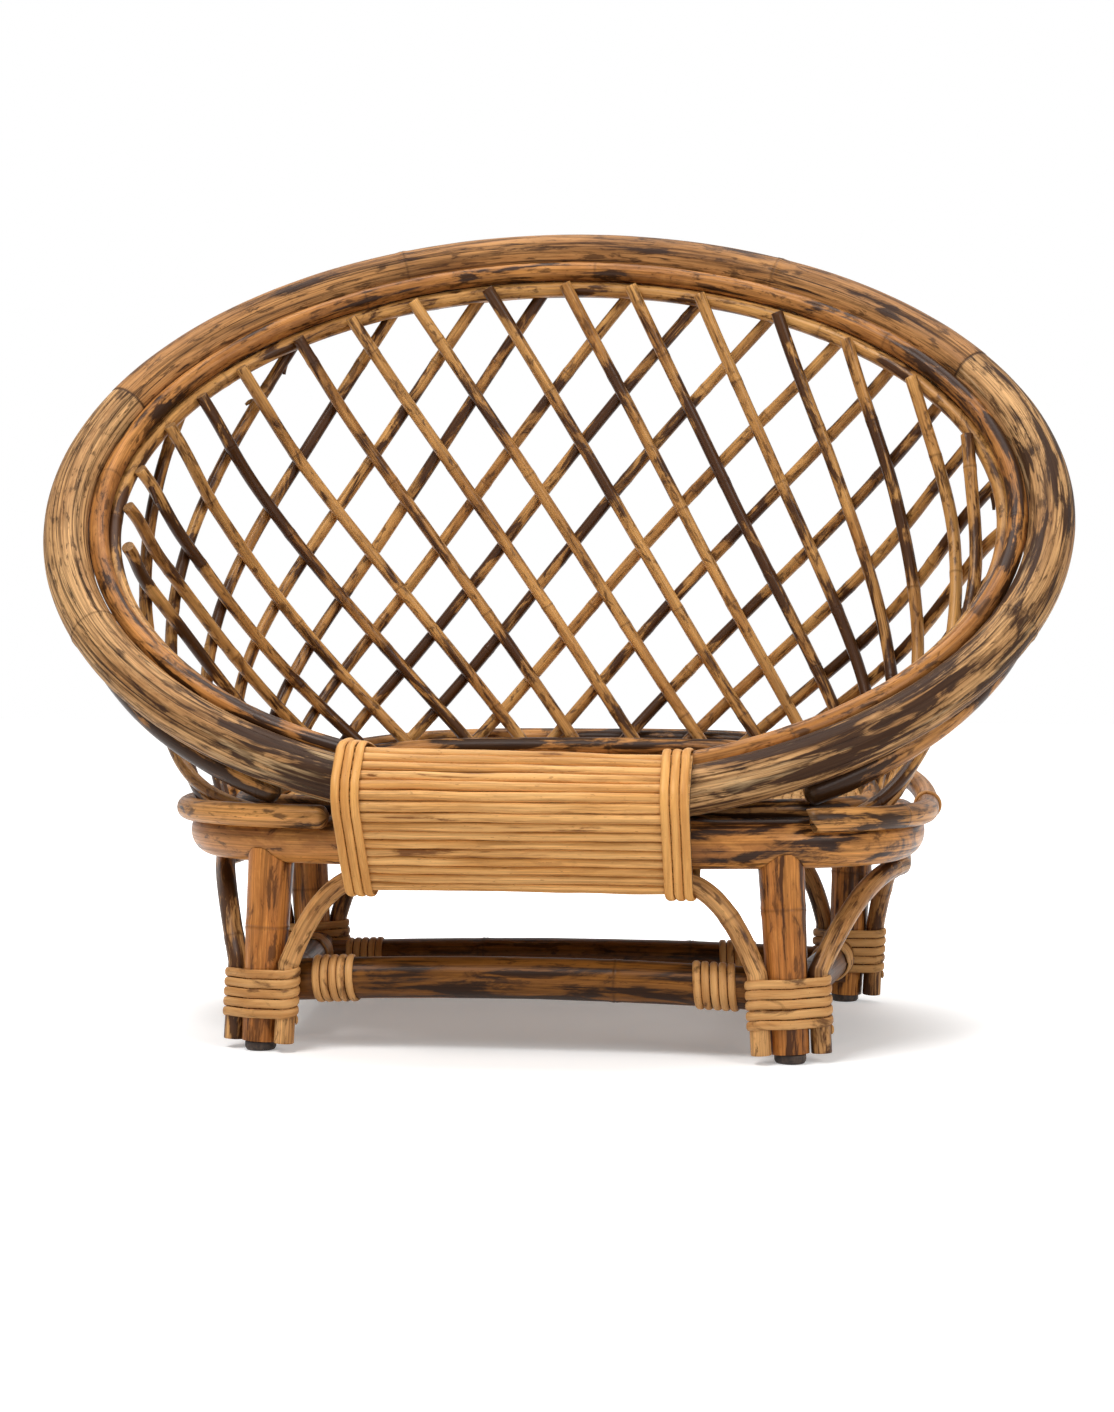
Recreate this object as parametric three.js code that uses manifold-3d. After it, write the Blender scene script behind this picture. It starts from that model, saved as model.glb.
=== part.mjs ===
// Oval rattan basket chair: a tilted lattice basket bound to a low four-legged rattan base.
// Millimetres, +Z up. The chair faces -Y and stands on Z = 0 with its middle over the origin.
// It is worked out about the middle of its base ring and moved to that origin at the end.
import * as THREE from 'three';
import { mergeVertices } from 'three/addons/utils/BufferGeometryUtils.js';
import Module from 'manifold-3d';

const wasm = await Module();
wasm.setup();

// Driving dimensions: fits
const clearance = 0.3; // between pieces that touch
const ringClearance = 0.6; // between bent poles that touch along their length
const tolerance = 0.003; // below which two lengths count as equal
const trimOverrun = 60; // how far cutting blocks reach past what they cut

// Driving dimensions: base ring, a rounded oval of thick pole
const poleDiameter = 45;
const baseHalfWidth = 336;
const baseHalfDepth = 226;
const baseHeight = 197;
const baseSquareness = 3.5;

// Driving dimensions: tilted oval rim of the basket
const rimDiameter = 45;
const rimHalfWidth = 490;
const rimHalfSlope = 378;
const rimTilt = THREE.MathUtils.degToRad(48.7);
const rimFrontReach = 26;
const rimSeatClearance = 0.7;
const basketTurn = THREE.MathUtils.degToRad(4.5);
const basketShift = -8.5;
const rimJointLeft = THREE.MathUtils.degToRad(157.5);
const rimJointRight = THREE.MathUtils.degToRad(30);

// Driving dimensions: thin hoops; the rings' directions are in the rim's section, from outward
const innerRingDiameter = 20;
const latticeRingDiameter = 17;
const underRimDiameter = 24;
const seatOuterDiameter = 22;
const seatInnerDiameter = 20;
const seatOuterRearRise = 54;
const seatInnerRearRise = 41;
const seatInnerOffset = 30.5;
const seatInnerLift = 29;
const innerRingDirection = THREE.MathUtils.degToRad(177);
const innerRingRoll = THREE.MathUtils.degToRad(6);
const latticeRingDirection = THREE.MathUtils.degToRad(236);
const underRimDirection = THREE.MathUtils.degToRad(245);
const underRimFrontSwing = THREE.MathUtils.degToRad(52);
const underRimEndLeft = THREE.MathUtils.degToRad(240);
const underRimEndRight = THREE.MathUtils.degToRad(-60);
const seatOuterEndLeft = THREE.MathUtils.degToRad(240);
const seatOuterEndRight = THREE.MathUtils.degToRad(-50);

// Driving dimensions: lattice rods
const rodDiameter = 13;
const rodCrossingGap = 1.8;
const rodHeadSink = 2.5;
const wallBulgeOut = 19;
const wallBulgeDown = 37;
const wallSideBulgeShare = 0.35;
const wallFootInset = 7;
const rodFootOverrun = 12;
const rodFootRise = 1; // most that a rod may rise past its lowest point
const rodHeadGap = 1.15;
// Heads and feet of the rods, as shares of half the curve they sit on, from its rear middle
const innerTopShares = [
  0.42, 0.337, 0.263, 0.194, 0.121, 0.059, 0, -0.069, -0.137,
  -0.195, -0.247, -0.307, -0.354, -0.398, -0.454, -0.498, -0.543,
];
const innerFootShares = [
  0.657, 0.59, 0.448, 0.398, 0.361, 0.314, 0.261, 0.203, 0.134,
  0.058, -0.01, -0.068, -0.128, -0.197, -0.246, -0.294, -0.346,
];
const outerTopShares = [
  -0.36, -0.243, -0.152, -0.075, -0.02, 0.056, 0.118, 0.182,
  0.247, 0.301, 0.357, 0.405, 0.454, 0.505, 0.55,
];
const outerFootShares = [
  -0.79, -0.69, -0.545, -0.472, -0.402, -0.358, -0.3, -0.224,
  -0.145, -0.058, 0.024, 0.093, 0.155, 0.198, 0.259,
];
const innerHeadShare = 0.008; // of a rod's length, past the lattice ring
const outerHeadShare = 0.015;
const rodHeadShare = 0.03; // where a rod leaves its layer at the ring
const rodSettleShare = 0.25; // where it reaches its layer in the wall

// Driving dimensions: legs and glides
const legTopDiameter = 43;
const legFootDiameter = 35;
const legFrontInset = 99; // from the base ring's widest point
const legRearInset = 41;
const legShift = -9;
const legFrontSplay = 10;
const legRearSplay = -10;
const legSplayY = 8;
const legSaddleDepth = 11;
const glideDiameter = 29;
const glideHeight = 8;
const glideChamfer = 2;

// Driving dimensions: brace hoops, each a bent pole with both its feet beside legs
const braceDiameter = 19;
const braceFootHeight = 8.5;
const braceBendHeight = 80;
const endBraceFootIn = 25.5;
const endBraceFootOut = 14;
const endBraceCrownIn = 97;
const endBraceControlIn = 38;
const sideBraceFootOut = 28;
const sideBraceFootBack = 8;
const sideBraceCrownY = 40;
const sideBraceXShare = 0.5;
const sideBraceYShare = 0.27;

// Driving dimensions: stretchers
const frontStretcherDiameter = 39;
const frontStretcherHeight = 62;
const rearStretcherDiameter = 36;
const rearStretcherHeight = 39;
const sideStretcherDiameter = 35;
const sideStretcherHeight = 50;
const endStretcherInset = 16;
const sideStretcherInset = 7;
const stretcherCrown = 7;

// Driving dimensions: flat cane bindings
const caneThickness = 2.4;
const legCaneWidth = 8.4;
const legCanePitch = 9.2;
const legCaneTurns = 5;
const legCaneStart = 29;
const stretcherCaneWidth = 7.2;
const stretcherCanePitch = 8;
const stretcherCaneTurns = 5;
const frontCaneReach = 46;
const otherCaneReach = 42;
const rearRightCaneReach = 92;
const bandCaneWidth = 8.1;
const bandCanePitch = 8.9;
const bandCaneTurns = 3;
const bandSeat = 0.9;
const leastTurnGap = 0.4;

// Driving dimensions: reed panel at the front, and seat deck
const panelCentre = -8.5;
const panelLegGap = 77; // from the panel's side edge to a front leg's middle
const panelSeat = 0.7;
const reedDiameter = 9;
const reedCount = 16;
const deckThickness = 4.4;
const deckDrop = 9; // below the inner hoop's middle
const deckNotchMargin = 10;

// Counts of faces and steps
const poleSides = 12;
const hoopSides = 8;
const rodSides = 6;
const ringSteps = 48;
const hoopSteps = 36;
const rodSteps = 12;
const measureSteps = 1440; // along a curve that is measured
const legSteps = 2;
const braceBendSteps = 5;
const stretcherSteps = 4;
const panelSteps = 6;
const panelPathSteps = 48;
const nearShare = 0.15;
const panelTopDirection = THREE.MathUtils.degToRad(100);
const panelBottomDirection = THREE.MathUtils.degToRad(225);
const reedCoverEnd = THREE.MathUtils.degToRad(210);
const reedCoverStep = Math.PI / 6;
const reedGrooveShare = 0.45;
const reedFlankShare = 0.9;
const reedNearShare = 0.2;
const reedMiddleShare = 0.5;
const reedFarShare = 0.8;

// Windings: strip, seat over what it binds, and largest turn between two flats
const legCane = {
  width: legCaneWidth,
  pitch: legCanePitch,
  turns: legCaneTurns,
  seat: clearance,
  maxStep: THREE.MathUtils.degToRad(50),
};
const stretcherCane = {
  width: stretcherCaneWidth,
  pitch: stretcherCanePitch,
  turns: stretcherCaneTurns,
  seat: clearance,
  maxStep: THREE.MathUtils.degToRad(45),
};
const bandCane = {
  width: bandCaneWidth,
  pitch: bandCanePitch,
  turns: bandCaneTurns,
  seat: bandSeat,
  maxStep: THREE.MathUtils.degToRad(36),
};

const poleRadius = poleDiameter / 2;
const rimRadius = rimDiameter / 2;
const rodRadius = rodDiameter / 2;
const braceRadius = braceDiameter / 2;
const reedCover = panelSeat + reedDiameter;
const quarterTurn = Math.PI / 2;
const fullTurn = Math.PI * 2;
const up = new THREE.Vector3(0, 0, 1);
const down = new THREE.Vector3(0, 0, -1);

const chair = new THREE.Group();

// Materials
const finishes = {
  weatheredPole: { color: 0x8a6a45, roughness: 0.75 },
  honeyPole: { color: 0x9a6431, roughness: 0.45 },
  darkPole: { color: 0x6b4423, roughness: 0.45 },
  lattice: { color: 0x94622f, roughness: 0.5 },
  paleReed: { color: 0xd2a05c, roughness: 0.55 },
  cane: { color: 0xc9975a, roughness: 0.5 },
  deckCane: { color: 0xb98a50, roughness: 0.7 },
  glide: { color: 0x2b1d14, roughness: 0.6 },
};

function addNode(name, geometry, finish) {
  const material = new THREE.MeshStandardMaterial({ ...finishes[finish], metalness: 0 });
  const mesh = new THREE.Mesh(geometry, material);
  mesh.name = name;
  chair.add(mesh);
  return mesh;
}

// Skins a closed solid over a row of section outlines with equal point counts. A ribbon section
// runs along one face and back along the other, so its ends are closed pair by pair.
function skin(sections, closed = false, ribbon = false) {
  const size = sections[0].length;
  const positions = sections.flat().flatMap((point) => point.toArray());
  const faces = [];
  const spans = closed ? sections.length : sections.length - 1;
  for (let row = 0; row < spans; row += 1) {
    const here = row * size;
    const next = ((row + 1) % sections.length) * size;
    for (let side = 0; side < size; side += 1) {
      const turn = (side + 1) % size;
      faces.push([here + side, here + turn, next + turn], [here + side, next + turn, next + side]);
    }
  }
  if (!closed) {
    const last = (sections.length - 1) * size;
    const fan = Array.from({ length: size - 2 }, (_, corner) => [0, corner + 1, corner + 2]);
    for (const [a, b, c] of ribbon ? ribbonCap(size) : fan) {
      faces.push([a, c, b], [last + a, last + b, last + c]);
    }
  }
  return facingOut(positions, faces);
}

function ribbonCap(size) {
  return Array.from({ length: size / 2 - 1 }, (_, near) => {
    const far = size - 1 - near;
    return [[near, near + 1, far - 1], [near, far - 1, far]];
  }).flat();
}

// Builds the geometry with its faces turned outward
function facingOut(positions, faces) {
  const corner = (index) => new THREE.Vector3().fromArray(positions, index * 3);
  let volume = 0;
  for (const [a, b, c] of faces) {
    volume += corner(a).dot(corner(b).cross(corner(c)));
  }
  const outward = volume < 0 ? faces.map(([a, b, c]) => [a, c, b]) : faces;
  const geometry = new THREE.BufferGeometry();
  geometry.setAttribute('position', new THREE.Float32BufferAttribute(positions, 3));
  geometry.setIndex(outward.flat());
  return geometry;
}

function tangents(points, closed) {
  const count = points.length;
  return points.map((_, index) => {
    const before = points[closed ? (index + count - 1) % count : Math.max(index - 1, 0)];
    const after = points[closed ? (index + 1) % count : Math.min(index + 1, count - 1)];
    return after.clone().sub(before).normalize();
  });
}

// Round pole along a row of points; outward(index) says which way the first corner faces
function pole(points, outward, radius, sides, closed = false, cornerTurn = 0, directions = null) {
  const along = directions ?? tangents(points, closed);
  const radiusAt = typeof radius === 'function' ? radius : () => radius;
  const sections = points.map((centre, index) => {
    const across = outward(index).clone();
    across.addScaledVector(along[index], -across.dot(along[index])).normalize();
    const side = along[index].clone().cross(across);
    return Array.from({ length: sides }, (_, corner) => {
      const angle = (corner / sides) * fullTurn + cornerTurn;
      return centre.clone()
        .addScaledVector(across, radiusAt(index) * Math.cos(angle))
        .addScaledVector(side, radiusAt(index) * Math.sin(angle));
    });
  });
  return skin(sections, closed);
}

function toSolid(geometry) {
  const bare = new THREE.BufferGeometry();
  bare.setAttribute('position', geometry.getAttribute('position').clone());
  bare.setIndex(geometry.getIndex().clone());
  const merged = mergeVertices(bare);
  return new wasm.Manifold(new wasm.Mesh({
    numProp: 3,
    vertProperties: new Float32Array(merged.getAttribute('position').array),
    triVerts: new Uint32Array(merged.getIndex().array),
  }));
}

function toGeometry(solid) {
  const mesh = solid.getMesh();
  const geometry = new THREE.BufferGeometry();
  geometry.setAttribute('position', new THREE.Float32BufferAttribute(mesh.vertProperties, 3));
  geometry.setIndex(Array.from(mesh.triVerts));
  return geometry;
}

function cut(geometry, cutters) {
  let solid = toSolid(geometry);
  for (const cutter of cutters) {
    solid = solid.subtract(toSolid(cutter));
  }
  return toGeometry(solid);
}

function block(low, high) {
  const size = high.clone().sub(low);
  const geometry = new THREE.BoxGeometry(size.x, size.y, size.z);
  const middle = low.clone().add(high).multiplyScalar(1 / 2);
  return geometry.translate(middle.x, middle.y, middle.z);
}

function anglesBetween(start, end, steps) {
  return Array.from({ length: steps + 1 }, (_, step) => start + ((end - start) * step) / steps);
}

function anglesRound(steps) {
  return anglesBetween(0, fullTurn, steps).slice(0, steps);
}

// Plan of the base ring: a superellipse, with its outward normal
function basePlan(angle) {
  const cosine = Math.cos(angle);
  const sine = Math.sin(angle);
  const spread = (Math.abs(cosine) ** baseSquareness + Math.abs(sine) ** baseSquareness)
    ** (1 / baseSquareness);
  return new THREE.Vector3(baseHalfWidth * cosine, baseHalfDepth * sine, 0).divideScalar(spread);
}

function basePlanNormal(angle) {
  const smallTurn = fullTurn / measureSteps;
  const along = basePlan(angle + smallTurn).sub(basePlan(angle - smallTurn)).normalize();
  return new THREE.Vector3(along.y, -along.x, 0);
}

function basePlanAtX(x, front) {
  const share = Math.min(Math.abs(x) / baseHalfWidth, 1);
  const y = baseHalfDepth * (1 - share ** baseSquareness) ** (1 / baseSquareness);
  return new THREE.Vector3(x, front ? -y : y, 0);
}

// Height gained toward the rear, where a hoop or the rods' feet gain rearRise in all
function seatRise(angle, rearRise) {
  const rearShare = Math.max(basePlan(angle).y, 0) / baseHalfDepth;
  return rearRise * rearShare ** 2;
}

// Rim frame: angle 0 is at the right, a quarter turn at the rear
const rimFrontY = -(baseHalfDepth + rimFrontReach);
const rimFrontZ = baseHeight
  + Math.sqrt((rimRadius + poleRadius + rimSeatClearance) ** 2 - rimFrontReach ** 2);
const rimCentreY = rimFrontY + rimHalfSlope * Math.cos(rimTilt);
const rimCentreZ = rimFrontZ + rimHalfSlope * Math.sin(rimTilt);
const rimSlope = new THREE.Vector3(0, Math.cos(rimTilt), Math.sin(rimTilt)).applyAxisAngle(up, basketTurn);
const rimAcross = new THREE.Vector3(1, 0, 0).applyAxisAngle(up, basketTurn);
const rimNormal = rimAcross.clone().cross(rimSlope);
const rimCentre = new THREE.Vector3(0, rimCentreY, rimCentreZ)
  .applyAxisAngle(up, basketTurn)
  .add(new THREE.Vector3(basketShift, 0, 0));

function rimOutward(angle) {
  return rimAcross.clone().multiplyScalar(Math.cos(angle) / rimHalfWidth)
    .addScaledVector(rimSlope, Math.sin(angle) / rimHalfSlope)
    .normalize();
}

function rimPoint(angle, outward = 0, lift = 0) {
  return rimCentre.clone()
    .addScaledVector(rimAcross, rimHalfWidth * Math.cos(angle))
    .addScaledVector(rimSlope, rimHalfSlope * Math.sin(angle))
    .addScaledVector(rimOutward(angle), outward)
    .addScaledVector(rimNormal, lift);
}

// Direction in the rim's section, measured from outward toward the sitter
function sectionOffset(direction, distance) {
  return { outward: distance * Math.cos(direction), lift: distance * Math.sin(direction) };
}

// Thick rim in two poles that butt against each other, with the rings' steps
const ringStep = fullTurn / ringSteps;

function rimPole(start, end) {
  const butt = clearance / rimHalfSlope;
  const angles = anglesBetween(start, end, Math.round((end - start) / ringStep));
  angles[0] += butt;
  const points = angles.map((angle) => rimPoint(angle));
  const directions = angles.map((angle) => (
    rimPoint(angle + ringStep).sub(rimPoint(angle - ringStep)).normalize()
  ));
  const outward = (index) => rimOutward(angles[index]);
  return pole(points, outward, rimRadius, poleSides, false, 0, directions);
}

// Ring on the sitter's side of the rim, rolled a little further over at the rear
const innerRingRadius = innerRingDiameter / 2;

function innerRingOffset(angle) {
  const direction = innerRingDirection - innerRingRoll * Math.sin(angle);
  return sectionOffset(direction, rimRadius + innerRingRadius + ringClearance);
}

// Ring that carries the lattice, behind the inner ring
const latticeRingRadius = latticeRingDiameter / 2;

function latticeRingOffset(angle) {
  const carrier = innerRingOffset(angle);
  const step = sectionOffset(latticeRingDirection, innerRingRadius + latticeRingRadius + ringClearance);
  return { outward: carrier.outward + step.outward, lift: carrier.lift + step.lift };
}

function ringFrom(offsetAt, radius, sides, angles = anglesRound(ringSteps), closed = true) {
  const points = angles.map((angle) => {
    const { outward, lift } = offsetAt(angle);
    return rimPoint(angle, outward, lift);
  });
  return pole(points, (index) => rimOutward(angles[index]), radius, sides, closed);
}

// Hoop under the rim, which swings below it toward its two front ends
const underRimRadius = underRimDiameter / 2;

function underRimOffset(angle) {
  const frontShare = Math.max(-Math.sin(angle), 0);
  const direction = underRimDirection + underRimFrontSwing * frontShare;
  return sectionOffset(direction, rimRadius + underRimRadius + ringClearance);
}

// Hoops that clamp the lower rod ends on the base ring's shoulders
const seatOuterRadius = seatOuterDiameter / 2;
const seatInnerRadius = seatInnerDiameter / 2;
const rodLayer = rodRadius + rodCrossingGap / 2;
const seatOuterOffset = rodLayer + rodRadius + clearance + seatOuterRadius;

function seatOuterPoint(angle) {
  const lift = Math.sqrt((poleRadius + seatOuterRadius + ringClearance) ** 2 - seatOuterOffset ** 2);
  return basePlan(angle)
    .addScaledVector(basePlanNormal(angle), seatOuterOffset)
    .setZ(baseHeight + lift + seatRise(angle, seatOuterRearRise));
}

function seatInnerPoint(angle) {
  return basePlan(angle)
    .addScaledVector(basePlanNormal(angle), -seatInnerOffset)
    .setZ(baseHeight + seatInnerLift + seatRise(angle, seatInnerRearRise));
}

function seatHoop(pointAt, radius, angles, closed) {
  const points = angles.map(pointAt);
  return pole(points, (index) => basePlanNormal(angles[index]), radius, hoopSides, closed);
}

function baseRing(extra = 0) {
  const angles = anglesRound(hoopSteps);
  const points = angles.map((angle) => basePlan(angle).setZ(baseHeight));
  const cornerTurn = fullTurn / poleSides / 2;
  const radius = poleRadius + extra;
  return pole(points, (index) => basePlanNormal(angles[index]), radius, poleSides, true, cornerTurn);
}

// Basket wall between the lattice ring and the seat hoops; fall runs from 0 at the top to 1
const wallFootHeight = baseHeight + poleRadius;

function wallPoint(angle, fall) {
  const { outward, lift } = latticeRingOffset(angle);
  const head = rimPoint(angle, outward, lift);
  const foot = basePlan(angle)
    .addScaledVector(basePlanNormal(angle), -wallFootInset)
    .setZ(wallFootHeight + seatRise(angle, seatInnerRearRise));
  const rearShare = Math.max(Math.sin(angle), 0);
  const belly = 4 * fall * (1 - fall) * THREE.MathUtils.lerp(wallSideBulgeShare, 1, rearShare);
  return head.lerp(foot, fall)
    .addScaledVector(basePlanNormal(angle), wallBulgeOut * belly)
    .addScaledVector(down, wallBulgeDown * belly);
}

function wallNormal(angle, fall) {
  const smallTurn = fullTurn / measureSteps;
  const round = wallPoint(angle + smallTurn, fall).sub(wallPoint(angle - smallTurn, fall));
  const drop = wallPoint(angle, fall + smallTurn).sub(wallPoint(angle, fall - smallTurn));
  return drop.cross(round).normalize();
}

// A rod leans from its top angle to its foot angle; side is 1 outside the wall, -1 inside.
// A low rod ends at its lowest point where it would rise again behind the hoops
const innerHeadLayer = rodRadius + latticeRingRadius + rodHeadGap;
const outerHeadLayer = rodRadius + latticeRingRadius - rodHeadSink;

function rodLayerAt(fall, side) {
  const settled = THREE.MathUtils.smoothstep(fall, rodHeadShare, rodSettleShare);
  return THREE.MathUtils.lerp(side > 0 ? outerHeadLayer : innerHeadLayer, rodLayer, settled);
}

function latticeRod(topAngle, footAngle, side, headShare) {
  const footShare = 1 + rodFootOverrun / wallPoint(footAngle, 0).distanceTo(wallPoint(footAngle, 1));
  const falls = anglesBetween(-headShare, footShare, rodSteps);
  const angleAt = (fall) => topAngle + (footAngle - topAngle) * fall;
  const points = falls.map((fall) => wallPoint(angleAt(fall), fall)
    .addScaledVector(wallNormal(angleAt(fall), fall), side * rodLayerAt(fall, side)));
  const outward = (index) => wallNormal(angleAt(falls[index]), falls[index]);
  const lowest = points.reduce((low, point, index) => (point.z < points[low].z ? index : low), 0);
  const rises = points[points.length - 1].z - points[lowest].z > rodFootRise;
  const line = rises ? points.slice(0, lowest + 1) : points;
  const rod = pole(line, outward, rodRadius, rodSides);
  const low = new THREE.Vector3(-rimHalfWidth, -rimHalfWidth, baseHeight - trimOverrun);
  const high = new THREE.Vector3(rimHalfWidth, rimHalfWidth, wallFootHeight + clearance);
  return cut(rod, [block(low, high)]);
}

// Angle at a share of half a curve's length from its rear middle, to the right where positive
function angleAtShare(curvePoint, share) {
  const angles = anglesRound(measureSteps).map((angle) => quarterTurn - Math.sign(share) * angle);
  const points = angles.map(curvePoint);
  const lengths = points.map((point, index) => point.distanceTo(points[(index + 1) % measureSteps]));
  const half = lengths.reduce((sum, length) => sum + length, 0) / 2;
  let travelled = 0;
  let index = 0;
  while (travelled < Math.abs(share) * half) {
    travelled += lengths[index];
    index += 1;
  }
  return angles[index];
}

const ringCurve = (angle) => wallPoint(angle, 0);
const rodAngles = (shares, curve) => shares.map((share) => angleAtShare(curve, share));
const innerTops = rodAngles(innerTopShares, ringCurve);
const innerFeet = rodAngles(innerFootShares, basePlan);
const outerTops = rodAngles(outerTopShares, ringCurve);
const outerFeet = rodAngles(outerFootShares, basePlan);

function ringPoint(offsetAt, angle) {
  const { outward, lift } = offsetAt(angle);
  return rimPoint(angle, outward, lift);
}

// Rim, rings and hoops
addNode('rim_rear_pole', rimPole(rimJointRight, rimJointLeft), 'honeyPole');
addNode('rim_front_pole', rimPole(rimJointLeft, rimJointRight + fullTurn), 'weatheredPole');
addNode('rim_inner_ring', ringFrom(innerRingOffset, innerRingRadius, hoopSides), 'honeyPole');
const underRimSteps = Math.round((underRimEndLeft - underRimEndRight) / ringStep);
const underRimAngles = anglesBetween(underRimEndRight, underRimEndLeft, underRimSteps);
addNode('under_rim_hoop',
  ringFrom(underRimOffset, underRimRadius, hoopSides, underRimAngles, false), 'darkPole');
const seatOuterSteps = Math.round(((seatOuterEndLeft - seatOuterEndRight) / fullTurn) * hoopSteps);
const seatOuterAngles = anglesBetween(seatOuterEndRight, seatOuterEndLeft, seatOuterSteps);
addNode('seat_outer_hoop', seatHoop(seatOuterPoint, seatOuterRadius, seatOuterAngles, false), 'honeyPole');
const seatInnerAngles = anglesRound(hoopSteps);
addNode('seat_inner_hoop', seatHoop(seatInnerPoint, seatInnerRadius, seatInnerAngles, true), 'darkPole');
addNode('base_ring', baseRing(), 'honeyPole');

// Lattice: the outer rods are joined to their ring, the inner rods lie over them
let latticeSolid = toSolid(ringFrom(latticeRingOffset, latticeRingRadius, hoopSides));
outerTops.forEach((topAngle, rod) => {
  latticeSolid = latticeSolid.add(toSolid(latticeRod(topAngle, outerFeet[rod], 1, outerHeadShare)));
});
addNode('lattice_ring_and_outer_rods', toGeometry(latticeSolid), 'lattice');
innerTops.forEach((topAngle, rod) => {
  const geometry = latticeRod(topAngle, innerFeet[rod], -1, innerHeadShare);
  addNode(`lattice_inner_rod_${String(rod + 1).padStart(2, '0')}`, geometry, 'lattice');
});

// Legs lean a little; a leg's middle is found at any height
const ends = [
  { name: 'front', legX: baseHalfWidth - legFrontInset, splay: legFrontSplay, out: -1 },
  { name: 'rear', legX: baseHalfWidth - legRearInset, splay: legRearSplay, out: 1 },
];
const hands = [{ name: 'left', hand: -1 }, { name: 'right', hand: 1 }];
const legTopHeight = baseHeight - poleRadius + legSaddleDepth;
const legBottomHeight = glideHeight + clearance;

function legMiddle(end, hand, height) {
  const top = basePlanAtX(legShift + hand * end.legX, end.out < 0);
  const lean = (baseHeight - height) / (baseHeight - legBottomHeight);
  return top.add(new THREE.Vector3(hand * end.splay * lean, end.out * legSplayY * lean, height));
}

function legRadiusAt(height) {
  const share = (height - legBottomHeight) / (legTopHeight - legBottomHeight);
  return THREE.MathUtils.lerp(legFootDiameter, legTopDiameter, share) / 2;
}

function leg(end, hand) {
  const heights = anglesBetween(0, legTopHeight, legSteps);
  const points = heights.map((height) => legMiddle(end, hand, height));
  const across = () => new THREE.Vector3(1, 0, 0);
  const geometry = pole(points, across, (index) => legRadiusAt(heights[index]), poleSides);
  const foot = legMiddle(end, hand, 0);
  const reachOut = new THREE.Vector3(legTopDiameter, legTopDiameter, trimOverrun);
  const high = foot.clone().add(reachOut).setZ(legBottomHeight);
  return cut(geometry, [baseRing(clearance), block(foot.clone().sub(reachOut), high)]);
}

function glide(end, hand) {
  const radius = glideDiameter / 2;
  const profile = [
    new THREE.Vector2(0, 0),
    new THREE.Vector2(radius - glideChamfer, 0),
    new THREE.Vector2(radius, glideChamfer),
    new THREE.Vector2(radius, glideHeight),
    new THREE.Vector2(0, glideHeight),
  ];
  const geometry = new THREE.LatheGeometry(profile, poleSides).rotateX(quarterTurn);
  const place = legMiddle(end, hand, legBottomHeight);
  return geometry.translate(place.x, place.y, 0);
}

// Feet of the brace hoops run beside the leg, as far off it all the way up to the bend
function endBraceFoot(end, hand, height) {
  const offset = new THREE.Vector3(-hand * endBraceFootIn, end.out * endBraceFootOut, 0);
  return legMiddle(end, hand, height).add(offset);
}

function sideBraceFoot(end, hand, height) {
  const offset = new THREE.Vector3(hand * sideBraceFootOut, -end.out * sideBraceFootBack, 0);
  return legMiddle(end, hand, height).add(offset);
}

const braceRunHeight = baseHeight - poleRadius - braceRadius - ringClearance;

// One side of a hoop: straight beside the leg, then bent over under the base ring
function braceSide(footAt, control, crown) {
  const bend = footAt(braceBendHeight);
  const bent = new THREE.QuadraticBezierCurve3(bend, control, crown).getPoints(braceBendSteps);
  return [footAt(braceFootHeight), ...bent];
}

function endBracePoints(end) {
  const sides = hands.map(({ hand }) => {
    const topX = legShift + hand * end.legX;
    const crown = basePlanAtX(topX - hand * endBraceCrownIn, end.out < 0).setZ(braceRunHeight);
    const control = basePlanAtX(topX + hand * (endBraceFootIn - endBraceControlIn * 2), end.out < 0);
    const footAt = (height) => endBraceFoot(end, hand, height);
    return braceSide(footAt, control.setZ(braceRunHeight), crown);
  });
  const middle = basePlanAtX(legShift, end.out < 0).setZ(braceRunHeight);
  return [...sides[0], middle, ...sides[1].reverse()];
}

function sideBracePoints(hand) {
  const sides = ends.map((end) => {
    const crown = new THREE.Vector3(hand * baseHalfWidth, end.out * sideBraceCrownY, braceRunHeight);
    const bend = sideBraceFoot(end, hand, braceBendHeight);
    const control = new THREE.Vector3(
      THREE.MathUtils.lerp(bend.x, crown.x, sideBraceXShare),
      THREE.MathUtils.lerp(bend.y, crown.y, sideBraceYShare),
      braceRunHeight,
    );
    return braceSide((height) => sideBraceFoot(end, hand, height), control, crown);
  });
  return [...sides[0], ...sides[1].reverse()];
}

function brace(points, across) {
  return pole(points, () => across, braceRadius, hoopSides);
}

// Bundle of a leg and its two brace feet at one height, as circles [x, y, radius]
function bundleAt(end, hand, height) {
  const middle = legMiddle(end, hand, height);
  const inner = endBraceFoot(end, hand, height);
  const outer = sideBraceFoot(end, hand, height);
  return [
    [middle.x, middle.y, legRadiusAt(height)],
    [inner.x, inner.y, braceRadius],
    [outer.x, outer.y, braceRadius],
  ];
}

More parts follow.
